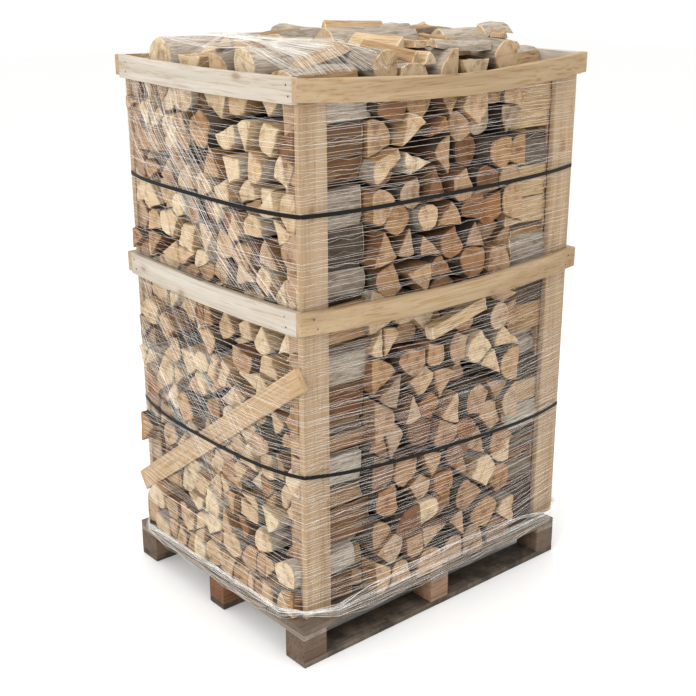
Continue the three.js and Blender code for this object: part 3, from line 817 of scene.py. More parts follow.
@dataclass
class LogStack:
    """The logs of one side, each built from its sawn end on the CAD block."""

    side: LoadSide
    seed: int
    length: float = 0.262
    split_area: float = 0.0135
    recess_chance: float = 0.12
    inner_row: float = 0.0
    paleness: tuple[float, float] = (1.5, 1.5)
    wedges: float = 0.42
    corners: int = 4
    fullness: tuple[float, float] = (0.97, 1.07)
    overhang: bool = False
    foot: float = 0.0
    slab: tuple[tuple[float, float], tuple[float, float]] | None = None
    round_end: tuple[float, float] | None = None
    ends: list[tuple[Array, float]] = field(default_factory=list)

    @property
    def node(self) -> str:
        """Names the CAD block of this stack."""
        return f"log_stack_{self.side.name}"

    def gather_ends(self, rng: np.random.Generator) -> None:
        """Reads the log ends from the block, and splits the large ones until they are small enough.

        Args:
            rng: the stack's run of random numbers.
        """
        waiting = self.side.faces_of(self.node)
        while waiting:
            outline, out = waiting.pop(0)
            if area_of(outline) < self.split_area:
                self.ends.append((outline, out))
                continue
            middle = outline.mean(axis=0)
            spread = outline - middle
            lean = np.linalg.svd(spread)[2][0]
            lean = lean + rng.normal(0.0, 0.25, 2)
            lean = lean / np.linalg.norm(lean)
            shift = middle + lean * rng.normal(0.0, 0.008)
            for way in (1.0, -1.0):
                half = cut_outline(outline, shift - lean * way * 0.0035, lean * way)
                if len(half) > 2 and area_of(half) > 8e-4:
                    waiting.append((half, out - abs(rng.normal(0.0, 0.012))))

    def lay_odd_pieces(self, rng: np.random.Generator, joined: JoinedMesh) -> None:
        """Adds a slab that lies slanting on the log ends and a whole round log beside it.

        Args:
            rng: the stack's run of random numbers.
            joined: the mesh that gathers the logs.
        """
        along, away = self.side.axes()
        start, end, centre = (np.array(place) for place in (*self.slab, self.round_end))
        run = end - start
        kept = []
        for outline, out in self.ends:
            middle = outline.mean(axis=0)
            share = np.clip((middle - start) @ run / (run @ run), 0, 1)
            if np.linalg.norm(middle - start - run * share) < 0.06:
                out = min(out, -0.004)
            if np.linalg.norm(middle - centre) > 0.062:
                kept.append((outline, out))
        self.ends = kept
        base = self.side.base
        lie = along * run[0] + UP * run[1]
        length = float(np.linalg.norm(lie))
        lie = lie / length
        section = np.array(((-0.042, -0.021), (-0.003, -0.025), (0.0, 0.016), (-0.036, 0.024)))
        log = SplitLog(section, base + along * end[0] + UP * end[1] + away * 0.047, away, np.cross(lie, away),
                       length, rng, tone=0.04, bark=np.array((False, False, False, True)),
                       pith=FAR_PITH, rings=FIVE_RINGS, step=0.02)
        log.into(joined)
        turn = np.linspace(0, 2 * math.pi, 12)[:-1]
        ring = centre + 0.046 * np.column_stack((np.cos(turn), 1.05 * np.sin(turn)))
        log = SplitLog(ring, base + away * 0.043, along, UP, self.length, rng, tone=0.66,
                       bark=np.ones(len(turn), bool), pith=centre, step=0.02, swell_limit=0.002)
        log.into(joined)
        aside = np.array((-run[1], run[0])) / length * 0.023
        flat = np.array((start - aside, end - aside, end + aside, start + aside))
        self.ends.extend(((flat, 0.047), (ring, 0.043)))

    def end_log(self, outline: Array, out: float, rng: np.random.Generator, joined: JoinedMesh) -> None:
        """Builds one log from its end outline.

        Args:
            outline: the end's corners along and up the side.
            out: how far out the end lies.
            rng: the stack's run of random numbers.
            joined: the mesh that gathers the logs.
        """
        along, away = self.side.axes()
        middle = outline.mean(axis=0)
        shrunk = middle + (outline - middle) * rng.uniform(*self.fullness)
        origin = self.side.base + away * out
        log = SplitLog(shrunk, origin, along, UP, self.length * rng.uniform(0.96, 1.0), rng,
                       tone=float(rng.beta(*self.paleness)), wedges=self.wedges, corners=self.corners)
        log.into(joined)

    def pushed_out(self, outline: Array, rng: np.random.Generator) -> float:
        """Gives how far a log end hangs out over the deck's edge, or towards the far corner.

        Args:
            outline: the end's corners along and up the side.
            rng: the stack's run of random numbers.
        Returns:
            How far out it lies at least.
        """
        low, high = outline[:, 1].min(), outline[:, 1].max()
        if high < 0.36:
            return self.foot - rng.uniform(0.0, 0.016)
        if not self.overhang:
            return NO_LIMIT
        braced = brace_line(self.side.length - outline[:, 0])
        held = [*HELD_BANDS, (braced.min() - 0.058, braced.max() + 0.058)]
        if any(high > start and low < end for start, end in held):
            return NO_LIMIT
        far = min(1.0, 1.7 * (1 - float(outline[:, 0].mean()) / self.side.length))
        reach = 0.03 + (0.014 if high < 0.6 else 0.0)
        return far * reach - rng.uniform(0.0, 0.016)

    def side_log(self, outline: Array, out: float, joined: JoinedMesh, side: LoadSide,
                 rng: np.random.Generator) -> None:
        """Builds one log that is seen from its side, beside a post, and one behind it.

        Args:
            outline: its outline along and up the side that it is seen from.
            out: how far out it lies there.
            joined: the mesh that gathers the logs.
            side: the side that it is seen from.
            rng: the stack's run of random numbers.
        """
        along, away = side.axes()
        low, high = outline.min(axis=0), outline.max(axis=0)
        half = (high[1] - low[1]) / 2
        if half > 0.12:
            return
        deep = rng.uniform(0.04, 0.055)
        if rng.random() < 0.4:
            arc = np.linspace(-1.0, 1.0, 6)
            section = np.column_stack((-deep * arc ** 2, half * 1.04 * arc))
            bark = np.array([True] * 5 + [False])
        else:
            tip, lean = rng.uniform(-0.5, 0.5), rng.uniform(0.0, 0.012)
            section = np.array(((-deep, -half), (-lean, -half * 0.9), (0.0, half * tip),
                                (-rng.uniform(0.004, 0.02), half * 0.92), (-deep, half)))
            bark = np.array([False, False, bool(rng.random() < 0.35), False, False])
        origin = side.base + away * out + along * (high[0] - 0.002)
        origin = origin + UP * (low[1] + half)
        length = high[0] - low[0] - 0.004
        log = SplitLog(section, origin, away, np.cross(along, away), length, rng,
                       tone=float(rng.beta(1.2, 1.9)), bark=bark, pith=FAR_PITH,
                       rings=FIVE_RINGS, step=0.02)
        log.into(joined)
        self.hidden_log(origin - away * 0.062, 1.25 * half, length, joined, side, rng)

    def hidden_log(self, origin: Array, half: float, length: float, joined: JoinedMesh, side: LoadSide,
                   rng: np.random.Generator) -> None:
        """Builds one squarely split log that lies along a side, behind what is seen there.

        Args:
            origin: the middle of its outer face at its far end.
            half: half its height.
            length: its length.
            joined: the mesh that gathers the logs.
            side: the side that it lies along.
            rng: the stack's run of random numbers.
        """
        along, away = side.axes()
        square = np.array(((-0.05, -half), (0.0, -half), (0.0, half), (-0.05, half)))
        log = SplitLog(square, origin, away, np.cross(along, away), length, rng, tone=0.7,
                       bark=np.zeros(4, bool), pith=FAR_PITH)
        log.into(joined)

    def fill_behind_post(self, joined: JoinedMesh, side: LoadSide, far: bool,
                         rng: np.random.Generator) -> None:
        """Stacks short logs behind the post at one end of a broad side.

        Args:
            joined: the mesh that gathers the logs.
            side: the broad side.
            far: whether the post stands at the side's far end.
            rng: the stack's run of random numbers.
        """
        along, away = side.axes()
        length = 0.102
        end = side.length - 0.006 if far else length + 0.006
        level = 0.142
        while level < 1.79:
            half = min(rng.uniform(0.036, 0.052), (STACK_TOP - level) / 2)
            origin = side.base + along * end - away * 0.026 + UP * (level + half)
            self.hidden_log(origin, half, length, joined, side, rng)
            level += 2 * half

    def build(self, materials: list[bpy.types.Material], sides: dict[str, LoadSide]) -> bpy.types.Object:
        """Builds the stack's logs as one joined piece.

        Args:
            materials: sawn end, split face and bark.
            sides: the load's four sides.
        Returns:
            The finished piece.
        """
        rng = np.random.default_rng(self.seed)
        self.gather_ends(rng)
        joined = JoinedMesh()
        for index, (outline, out) in enumerate(self.ends):
            if rng.random() < self.recess_chance:
                out = out - rng.uniform(0.02, 0.07)
            elif self.foot:
                out = max(out, self.pushed_out(outline, rng))
            self.ends[index] = (outline, out)
        if self.slab and self.round_end:
            self.lay_odd_pieces(rng, joined)
        for outline, out in self.ends[:-2] if self.slab else self.ends:
            self.end_log(outline, out, rng, joined)
            for row in range(1, 1 + round(self.inner_row / self.length)):
                self.end_log(outline, out - row * (self.length + 0.004), rng, joined)
        if not self.side.long:
            for seen in ("front", "back"):
                for outline, out in sides[seen].faces_of(self.node):
                    self.side_log(outline, out, joined, sides[seen], rng)
                far = (seen == "front") == (self.side.name == "right")
                self.fill_behind_post(joined, sides[seen], far, rng)
        piece = joined.piece(f"split_logs_{self.side.name}", materials)
        settle(piece, "log", self.node)
        return piece


class LogForm(Enum):
    """How a loose log was split."""

    ROUND = 0
    HALF = 1
    WEDGE = 2
    SLAB = 3


@dataclass
class LooseHeap:
    """The loose logs heaped on top of the stacks."""

    count: int = 18
    seed: int = 77
    extra: int = 66
    tries: int = 2600
    base: float = 1.795
    most: float = 1.934
    cell: float = 0.01
    heights: Array | None = None
    corner: Array | None = None
    size: Array | None = None

    def lay_ground(self, sides: dict[str, LoadSide]) -> None:
        """Starts the heap's surface at the level of the stacks.

        Args:
            sides: the load's four sides.
        """
        self.corner = np.array(sides["front"].start)
        self.size = np.array((sides["front"].length, sides["right"].length))
        shape = np.ceil(self.size / self.cell).astype(int)
        self.heights = np.full(tuple(shape), self.base)

    def footprint(self, middle: Array, axis: Array, length: float, half: float) -> tuple[Array, Array, Array]:
        """Finds the surface cells under a log.

        Args:
            middle: the log's middle in plan.
            axis: the way it lies in plan.
            length: its length.
            half: half its width.
        Returns:
            The mask of cells, and their places along and across the log.
        """
        rows, columns = self.heights.shape
        x = self.corner[0] + (np.arange(rows)[:, None] + 0.5) * self.cell - middle[0]
        y = self.corner[1] + (np.arange(columns)[None] + 0.5) * self.cell - middle[1]
        along, across = x * axis[0] + y * axis[1], y * axis[0] - x * axis[1]
        return (np.abs(along) < length / 2) & (np.abs(across) < half), along, across

    def height_at(self, points: Array) -> Array:
        """Reads the heap's surface at places in plan."""
        at = ((points[:, :2] - self.corner) / self.cell).astype(int)
        rows, columns = self.heights.shape
        return self.heights[np.clip(at[:, 0], 0, rows - 1), np.clip(at[:, 1], 0, columns - 1)]

    def shaped_like(self, node: str, rng: np.random.Generator, joined: JoinedMesh) -> None:
        """Builds one detailed log in the place of a CAD log.

        Args:
            node: the CAD log's name.
            rng: the heap's run of random numbers.
            joined: the mesh that gathers the logs.
        """
        points, _ = node_triangles(node)
        middle = points.mean(axis=0)
        axis = np.linalg.svd(points - middle)[2][0]
        if axis @ TO_NEAR_CORNER < 0:
            axis = -axis
        across = np.cross(UP, axis)
        across = across / np.linalg.norm(across)
        up = np.cross(axis, across)
        depth = (points - middle) @ axis
        end = points[depth > depth.max() - 1e-4] - middle
        outline = anticlockwise(np.column_stack((end @ across, end @ up)))
        turns = corner_turns(outline)
        bark = (turns < 1.0) & (np.roll(turns, -1) < 1.9)
        bark |= (np.roll(turns, -1) < 1.0) & (turns < 1.9)
        whole = bool((turns < 1.0).all())
        pith = outline.mean(axis=0) if whole else outline[int(np.argmax(turns))] * 0.9
        log = SplitLog(outline, middle + axis * depth.max(), across, up, float(np.ptp(depth)), rng,
                       tone=float(rng.uniform(0.02, 0.34)), bark=bark, pith=pith, step=0.022,
                       swell_limit=0.004, rings=(0.0, 0.2, 0.4, 0.6, 0.8, 1.0))
        log.into(joined)
        half = float(np.abs(outline[:, 0]).max())
        mask, _, aside = self.footprint(middle, axis, float(np.ptp(depth)), half)
        low, high = points[:, 2].min(), points[:, 2].max()
        crown = low + (high - low) * (0.5 + 0.5 * np.sqrt(np.clip(1 - (aside / half) ** 2, 0, 1)))
        self.heights[mask] = np.maximum(self.heights, crown)[mask]

    def section(self, form: LogForm, radius: float, rng: np.random.Generator) -> tuple[Array, Array, Array]:
        """Draws the section of a loose log.

        Args:
            form: how it was split.
            radius: half its width.
            rng: the heap's run of random numbers.
        Returns:
            The corners, which edges carry bark, and the pith.
        """
        if form is LogForm.ROUND:
            turn = np.linspace(0, 2 * math.pi, 10)[:-1]
            reach = radius * rng.uniform(0.92, 1.06, 9)
            corners = np.column_stack((np.cos(turn) * reach, np.sin(turn) * reach))
            return corners, np.ones(9, bool), np.zeros(2)
        if form is LogForm.HALF:
            turn = np.linspace(0, math.pi, 6)
            reach = radius * rng.uniform(0.92, 1.06, 6)
            arc = np.column_stack((np.cos(turn) * reach, np.sin(turn) * reach * 0.95))
            return arc - (0, 0.4 * radius), np.array([True] * 5 + [False]), np.array((0.0, -0.4 * radius))
        lean = rng.uniform(-0.6, 0.6)
        if form is LogForm.WEDGE:
            corners = np.array(((-0.95, -0.45), (0.95, -0.5), (lean, rng.uniform(0.5, 0.85)))) * radius
            bark = np.array([False, rng.random() < 0.6, False])
            return corners, bark, corners[0]
        corners = np.array(((-1.0, -0.4), (1.0, -0.45), (0.75, 0.25 - 0.3 * lean),
                            (-0.8, 0.3 + 0.4 * lean))) * radius
        return corners, np.array([False, True, False, False]), np.array((-1.6, 0.1)) * radius

    def drop(self, rng: np.random.Generator, joined: JoinedMesh) -> bool:
        """Lets one more log settle on the heap, if there is room for it.

        Args:
            rng: the heap's run of random numbers.
            joined: the mesh that gathers the logs.
        Returns:
            Whether it found a place.
        """
        form = rng.choice(list(LogForm), p=(0.08, 0.22, 0.42, 0.28))
        radius, length = rng.uniform(0.026, 0.05), rng.uniform(0.15, 0.265)
        turn = rng.choice((0.0, math.pi / 2)) + rng.normal(0.0, 0.5)
        axis = np.array((math.cos(turn), math.sin(turn)))
        if axis @ TO_NEAR_CORNER[:2] < 0:
            axis = -axis
        margin = np.abs(axis) * length / 2 + np.abs(axis[::-1]) * radius + 0.026
        middle = self.corner + margin + rng.random(2) * (self.size - 2 * margin)
        mask, along, across = self.footprint(middle, axis, length, radius * 0.9)
        under = radius if form is LogForm.ROUND else 0.45 * radius
        belly = under * np.sqrt(np.clip(1 - (across / radius) ** 2, 0, 1)) if form is LogForm.ROUND else under
        need = np.where(mask, self.heights + belly, 0.0)
        first, second = np.where(along < 0, need, 0.0), np.where(along >= 0, need, 0.0)
        a, b = first.max(), second.max()
        sa, sb = along.flat[int(first.argmax())], along.flat[int(second.argmax())]
        slope = (b - a) / max(sb - sa, 0.05)
        if abs(slope) > 0.45:
            return False
        level = a - slope * sa
        top = level + abs(slope) * length / 2 + radius * (1.0 if form is LogForm.ROUND else 0.7)
        if top > self.most:
            return False
        out = np.array((*axis, slope)) / math.sqrt(1 + slope * slope)
        aside = np.cross(UP, out)
        aside = aside / np.linalg.norm(aside)
        outline, bark, pith = self.section(form, radius, rng)
        log = SplitLog(outline, np.array((*middle, level)) + out * length / 2, aside, np.cross(out, aside),
                       length, rng, tone=float(0.45 * rng.beta(1.1, 1.7)), bark=bark, pith=pith, step=0.024,
                       swell_limit=0.005, rings=FIVE_RINGS)
        log.into(joined)
        crown = level + slope * along + 0.55 * radius
        self.heights[mask] = np.maximum(self.heights, crown)[mask]
        return True

    def build(self, materials: list[bpy.types.Material], sides: dict[str, LoadSide]) -> bpy.types.Object:
        """Builds the heap as one joined piece.

        Args:
            materials: sawn end, split face and bark.
            sides: the load's four sides.
        Returns:
            The finished piece.
        """
        rng = np.random.default_rng(self.seed)
        self.lay_ground(sides)
        joined = JoinedMesh()
        nodes = [f"loose_log_{index:02d}" for index in range(1, self.count + 1)]
        for node in nodes:
            self.shaped_like(node, rng, joined)
        placed = 0
        for _ in range(self.tries):
            placed += self.drop(rng, joined)
            if placed >= self.extra:
                break
        LOG.info("loose logs laid between: %d", placed)
        piece = joined.piece("loose_logs", materials)
        settle(piece, "log", *nodes)
        return piece


@dataclass
class BoardWork:
    """The sawn boards of pallet and crate, each worked from its CAD board."""

    edge: float = 2.2 * MM
    uneven: float = 0.5 * MM

    def work(self, node: str, material: bpy.types.Material, slot: str, seed: int) -> bpy.types.Object:
        """Works one board: edges taken off, faces a little uneven.

        Args:
            node: the CAD board's name.
            material: its finish.
            slot: a material slot name, handed on to settle.
            seed: which unevenness it gets.
        Returns:
            The finished piece.
        """
        piece = bpy.data.objects.new(f"{node}_board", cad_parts[node].data.copy())
        bpy.context.scene.collection.objects.link(piece)
        only(piece)
        bpy.ops.object.mode_set(mode="EDIT")
        bpy.ops.mesh.select_mode(type="EDGE")
        bpy.ops.mesh.select_all(action="SELECT")
        bpy.ops.mesh.remove_doubles(threshold=1e-5)
        bpy.ops.mesh.dissolve_limited(angle_limit=math.radians(0.4))
        low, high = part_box(node)
        size = high - low
        longest = max(range(3), key=lambda i: size[i])
        cuts = max(2, int(size[longest] / 0.07))
        for cut in range(1, cuts):
            bpy.ops.mesh.select_all(action="SELECT")
            point, normal = list((low + high) / 2), [0.0, 0.0, 0.0]
            point[longest] = low[longest] + size[longest] * cut / cuts
            normal[longest] = 1.0
            bpy.ops.mesh.bisect(plane_co=point, plane_no=normal)
        bpy.ops.mesh.select_all(action="DESELECT")
        bpy.ops.mesh.edges_select_sharp(sharpness=math.radians(40))
        bpy.ops.mesh.bevel(offset=self.edge, segments=2, affect="EDGES")
        bpy.ops.mesh.select_all(action="SELECT")
        bpy.ops.transform.vertex_random(offset=self.uneven, seed=seed)
        bpy.ops.object.mode_set(mode="OBJECT")
        piece.data.materials.clear()
        piece.data.materials.append(material)
        bpy.ops.object.shade_smooth_by_angle(angle=math.radians(30))
        settle(piece, slot, node)
        return piece


@dataclass
class Pallet:
    """The weathered block pallet."""

    boards: BoardWork

    def build(self) -> None:
        """Works the pallet's runners, blocks, cross boards and deck boards."""
        runner = SawnSoftwood("pallet_runner_wood", "6d6053", "453a31", GrainAxis.X, "3a332c", 0.8).build()
        cross = SawnSoftwood("pallet_cross_wood", "8e8176", "6a5d51", GrainAxis.Y, "776b60", 0.55).build()
        deck = SawnSoftwood("pallet_deck_wood", "78695a", "52473b", GrainAxis.X, "564c42", 0.65).build()
        grey = SawnSoftwood("pallet_block_wood_grey", "6d5a4a", "483b30", GrainAxis.X, "4d443b", 0.65).build()
        red = SawnSoftwood("pallet_block_wood_red", "7a5338", "523523", GrainAxis.X, "58463a", 0.4).build()
        tan = SawnSoftwood("pallet_block_wood_tan", "96785f", "6b5140", GrainAxis.X, "6f6053", 0.4).build()
        odd_blocks = {("middle", "left"): red, ("front", "middle"): tan, ("back", "right"): red}
        seed = 10
        for column in ("left", "middle", "right"):
            for row in ("front", "middle", "back"):
                material = odd_blocks.get((row, column), grey)
                self.boards.work(f"pallet_block_{row}_{column}", material, "pallet_block", seed)
                seed += 1
            self.boards.work(f"pallet_cross_board_{column}", cross, "pallet_board", seed)
            seed += 1
        for row in ("front", "middle", "back"):
            self.boards.work(f"pallet_runner_{row}", runner, "pallet_runner", seed)
            seed += 1
        for board in range(1, 6):
            self.boards.work(f"pallet_deck_board_{board}", deck, "pallet_board", seed)
            seed += 1


@dataclass
class BoardCrate:
    """Posts, rails and brace of the crate, with their nails."""

    boards: BoardWork
    nail_radius: float = 3.0 * MM
    nail_height: float = 1.4 * MM

    def build(self, sides: dict[str, LoadSide]) -> None:
        """Works the crate's boards and drives its nails.

        Args:
            sides: the load's four sides.
        """
        post = SawnSoftwood("post_wood", "ae967a", "9d815c", GrainAxis.Z, "9c8a74", 0.3).build()
        long_rail = SawnSoftwood("long_rail_wood", "ae9777", "997c54", GrainAxis.X, "a08c72", 0.25).build()
        short_rail = SawnSoftwood("short_rail_wood", "c3bbaf", "b0a290", GrainAxis.Y, "b2aaa0", 0.35).build()
        lean = math.atan2(BRACE_LOW[1] - BRACE_HIGH[1], BRACE_LOW[0] - BRACE_HIGH[0])
        brace = SawnSoftwood("brace_wood", "bb9f7c", "9f8059", GrainAxis.Y, "857058", 0.35, -lean).build()
        seed = 60
        for face in ("front", "back"):
            for end in ("left", "right"):
                self.boards.work(f"post_{face}_{end}", post, "post", seed)
                seed += 1
        for level in ("top", "middle"):
            for face in ("front", "back", "left", "right"):
                wide = face in ("front", "back")
                material = long_rail if wide else short_rail
                slot = "rail_long" if wide else "rail_short"
                self.boards.work(f"rail_{level}_{face}", material, slot, seed)
                seed += 1
        self.boards.work("brace_left", brace, "brace", seed)
        self.drive_nails(sides)

    def drive_nails(self, sides: dict[str, LoadSide]) -> None:
        """Models one nail head and copies it along the rails' ends.

        Args:
            sides: the load's four sides.
        """
        bpy.ops.object.select_all(action="DESELECT")
        bpy.ops.mesh.primitive_cylinder_add(vertices=10, radius=self.nail_radius, depth=self.nail_height)
        head = bpy.context.active_object
        bpy.ops.object.mode_set(mode="EDIT")
        bpy.ops.mesh.select_all(action="SELECT")
        bpy.ops.mesh.bevel(offset=0.5 * MM, segments=1, affect="EDGES")
        bpy.ops.object.mode_set(mode="OBJECT")
        steel = NailSteel().build()
        heads = []
        for top, tall in zip(RAIL_TOPS.values(), (0.070, 0.072)):
            for side in sides.values():
                _, out = side.axes()
                for u in (0.030, side.length - 0.034):
                    for k, share in enumerate((0.3, 0.74)):
                        sway = 0.02 * math.sin(91.7 * u + 7 * k + 40 * top)
                        bow = {"front": 0.0475, "back": 0.0235}.get(side.name, 0.015)
                        stand = bow * float(side.bowed(np.array(u)))
                        spot = side.place(np.array([u + sway]), np.array([top - tall * share]),
                                          np.array([0.0222 + stand]))[0]
                        copy = bpy.data.objects.new("nail", head.data.copy())
                        bpy.context.scene.collection.objects.link(copy)
                        turn = Vector(out).to_track_quat("Z", "Y").to_matrix().to_4x4()
                        copy.data.transform(Matrix.Translation(Vector(spot)) @ turn)
                        heads.append(copy)
        bpy.data.objects.remove(head)
        bpy.ops.object.select_all(action="DESELECT")
        for copy in heads:
            copy.select_set(True)
        bpy.context.view_layer.objects.active = heads[0]
        bpy.ops.object.join()
        nails = bpy.context.active_object
        nails.name = "rail_nails"
        nails.data.materials.append(steel)
        bpy.ops.object.shade_smooth_by_angle(angle=math.radians(30))
        settle(nails, "strap")


@dataclass
class FlatStrap:
    """One flat strap round the load."""

    name: str
    corners: tuple[float, float, float, float]
    slack: float
    width: float = 13 * MM
    thick: float = 1.1 * MM
    bulge_long: float = 0.044
    bulge_short: float = 0.040

    def level(self, index: int, share: Array) -> Array:
        """Gives the strap's height along one side.

        Args:
            index: the side's number, anticlockwise from the front.
            share: places along the side, 0 to 1.
        Returns:
            The heights.
        """
        start, end = self.corners[index], self.corners[(index + 1) % 4]
        return start + (end - start) * share - self.slack * arch(share)

    def stand(self, side: LoadSide, share: Array) -> Array:
        """Gives how far the strap's inner face stands out of one side."""
        return 0.0006 + (self.bulge_long if side.long else self.bulge_short) * swell(share)

    def build(self, sides: dict[str, LoadSide], material: bpy.types.Material) -> bpy.types.Object:
        """Builds the strap as one closed band.

        Args:
            sides: the load's four sides.
            material: the strap's finish.
        Returns:
            The finished piece.
        """
        shares = np.concatenate(([0.003, 0.012], np.linspace(0.03, 0.97, 34), [0.988, 0.997]))
        inner, outs = [], []
        for index, side in enumerate(sides.values()):
            u, z, w = shares * side.length, self.level(index, shares), self.stand(side, shares)
            inner.append(side.place(u, z, w))
            outs.append(side.outs(len(shares)))
        path, out = np.concatenate(inner), np.concatenate(outs)
        half = UP * self.width / 2
        rolled = 0.0004 * np.sin(np.arange(len(path)) * 0.7)[:, None] * out
        loops = np.stack((path - half, path - half * 0.9 + out * self.thick + rolled,
                          path + half * 0.9 + out * self.thick + rolled, path + half), axis=1)
        joined = JoinedMesh()
        count = len(path)
        faces = []
        for i in range(count):
            j = (i + 1) % count
            for k in range(4):
                m = (k + 1) % 4
                faces.append((i * 4 + k, j * 4 + k, j * 4 + m, i * 4 + m))
        joined.add(loops.reshape(-1, 3), faces, [0] * len(faces))
        piece = joined.piece(f"{self.name}_band", [material], logs=False)
        settle(piece, "strap", self.name)
        return piece


@dataclass
class NetWrap:
    """White knitted net, drawn tight round the load under the rails and the straps."""

    thread: float = 0.4 * MM
    low: float = 0.165
    high: float = 1.79
    pitch: float = 0.0115
    across: int = 72
    upwards: int = 150
    seed: int = 5
    hem_corners: tuple[float, float, float, float] = (0.172, 0.176, 0.160, 0.150)
    hem_strands: int = 34
    hem_gathered: int = 8
    skins: list[Array] = field(default_factory=list)

    def stretch(self, sides: dict[str, LoadSide], stacks: dict[str, LogStack],
                straps: list[FlatStrap]) -> None:
        """Stretches a skin over each side: over the log ends and posts, under straps and rails.

        Args:
            sides: the load's four sides.
            stacks: the log stacks by side.
            straps: the two straps.
        """
        heights = np.linspace(self.low, self.high, self.upwards)
        for index, (name, side) in enumerate(sides.items()):
            spans = np.linspace(0.0, side.length, self.across)
            u, z = np.meshgrid(spans, heights)
            floor = np.full(u.shape, -0.03)
            for outline, out in stacks[name].ends:
                inside = np.ones(u.shape, dtype=bool)
                for corner, after in zip(outline, np.roll(outline, -1, axis=0)):
                    run = after - corner
                    inside &= run[0] * (z - corner[1]) - run[1] * (u - corner[0]) >= -1e-4
                floor[inside] = np.maximum(floor[inside], out + 0.002)
            floor[:, :2] = floor[:, -2:] = 0.0
            if side.long:
                post = (u < 0.104) | (u > side.length - 0.104)
                floor[post] = np.maximum(floor[post], 0.0004)
            if name == "left":
                braced = np.abs(z - brace_line(side.length - u)) < 0.046
                floor[braced] = np.maximum(floor[braced], 0.0225)
            ceiling = np.full(u.shape, 0.2)
            bows = {"front": (0.045, 0.050), "back": (0.0225, 0.025)}.get(name, (0.015, 0.015))
            for bow, top in zip(bows, RAIL_TOPS.values()):
                railed = (z > top - 0.095) & (z < top + 0.006)
                ceiling[railed] = (bow * side.bowed(u) - 0.0012)[railed]
            for strap in straps:
                level = strap.level(index, u / side.length)
                near = np.abs(z - level) < 0.012
                under = strap.stand(side, u / side.length) - 0.0015
                ceiling[near] = np.minimum(ceiling[near], under[near])
            skin = np.maximum(floor, 0.0)
            for _ in range(260):
                sideways = (skin[:, :-2] + skin[:, 2:]) / 2
                upright = (skin[:-2] + skin[2:]) / 2
                skin[:, 1:-1] = 0.25 * skin[:, 1:-1] + 0.75 * sideways
                skin[1:-1] = 0.75 * skin[1:-1] + 0.25 * upright
                skin = np.minimum(np.maximum(skin, floor), np.maximum(ceiling, 0.0))
            self.skins.append(skin + 0.001)

    def lift(self, index: int, side: LoadSide, u: Array, z: Array) -> Array:
        """Reads how far out the net lies at places on one side."""
        skin = self.skins[index]
        col = np.clip(u / side.length, 0, 1) * (self.across - 1)
        row = np.clip((z - self.low) / (self.high - self.low), 0, 1) * (self.upwards - 1)
        c, r = np.minimum(col.astype(int), self.across - 2), np.minimum(row.astype(int), self.upwards - 2)
        a, b = col - c, row - r
        top = skin[r + 1, c] * (1 - a) + skin[r + 1, c + 1] * a
        return (skin[r, c] * (1 - a) + skin[r, c + 1] * a) * (1 - b) + top * b

    def tube(self, joined: JoinedMesh, points: Array, out: Array, radius: Array, closed: bool) -> None:
        """Adds a three-sided thread along a path.

        Args:
            joined: the mesh that gathers the threads.
            points: the path.
            out: the way out of the load at each point.
            radius: the thread's half thickness at each point.
            closed: whether the path runs back into its start.
        """
        count = len(points)
        ring = np.stack([
            points + radius[:, None] * (math.cos(turn) * out + math.sin(turn) * UP)
            for turn in (0.0, 2 * math.pi / 3, 4 * math.pi / 3)], axis=1)
        faces = []
        for i in range(count if closed else count - 1):
            j = (i + 1) % count
            for k in range(3):
                m = (k + 1) % 3
                faces.append((i * 3 + k, j * 3 + k, j * 3 + m, i * 3 + m))
        if not closed:
            last = (count - 1) * 3
            faces.append((0, 1, 2))
            faces.append((last + 2, last + 1, last))
        joined.add(ring.reshape(-1, 3), faces, [0] * len(faces))

    def round_thread(self, joined: JoinedMesh, sides: dict[str, LoadSide], level: float, zig: float,
                     rng: np.random.Generator) -> None:
        """Adds one thread right round the load.

        Args:
            joined: the mesh that gathers the threads.
            sides: the load's four sides.
            level: its height.
            zig: how far it swings up and down, for the knitted links.
            rng: the net's run of random numbers.
        """
        waves = [(rng.uniform(1.0, 4.0), rng.uniform(0, 6.3), rng.normal(0, 0.004)) for _ in range(3)]
        parts, outs = [], []
        total = sum(side.length for side in sides.values())
        done = 0.0
        for index, side in enumerate(sides.values()):
            count = 24 if side.long else 20
            shares = (np.arange(count) + 0.02) / count
            if zig:
                count = 28 if side.long else 22
                shares = (np.arange(count) + rng.uniform(0.1, 0.9)) / (count + 0.5)
            turn = 2 * math.pi * (done + shares * side.length) / total
            z = level + sum(size * np.sin(round(rate) * turn + phase) for rate, phase, size in waves)
            if zig:
                ways = np.where(np.arange(count) % 2, 1.0, -1.0)
                z = z + zig * ways * rng.uniform(0.5, 1.3, count)
            z = np.clip(z, self.low, self.high)
            u = shares * side.length
            parts.append(side.place(u, z, self.lift(index, side, u, z) + self.thread * 0.5))
            outs.append(side.outs(count))
            done += side.length
        points = np.concatenate(parts)
        size = self.thread * rng.uniform(0.55, 1.1) * (0.7 if zig else 1.0)
        self.tube(joined, points, np.concatenate(outs), np.full(len(points), size), True)

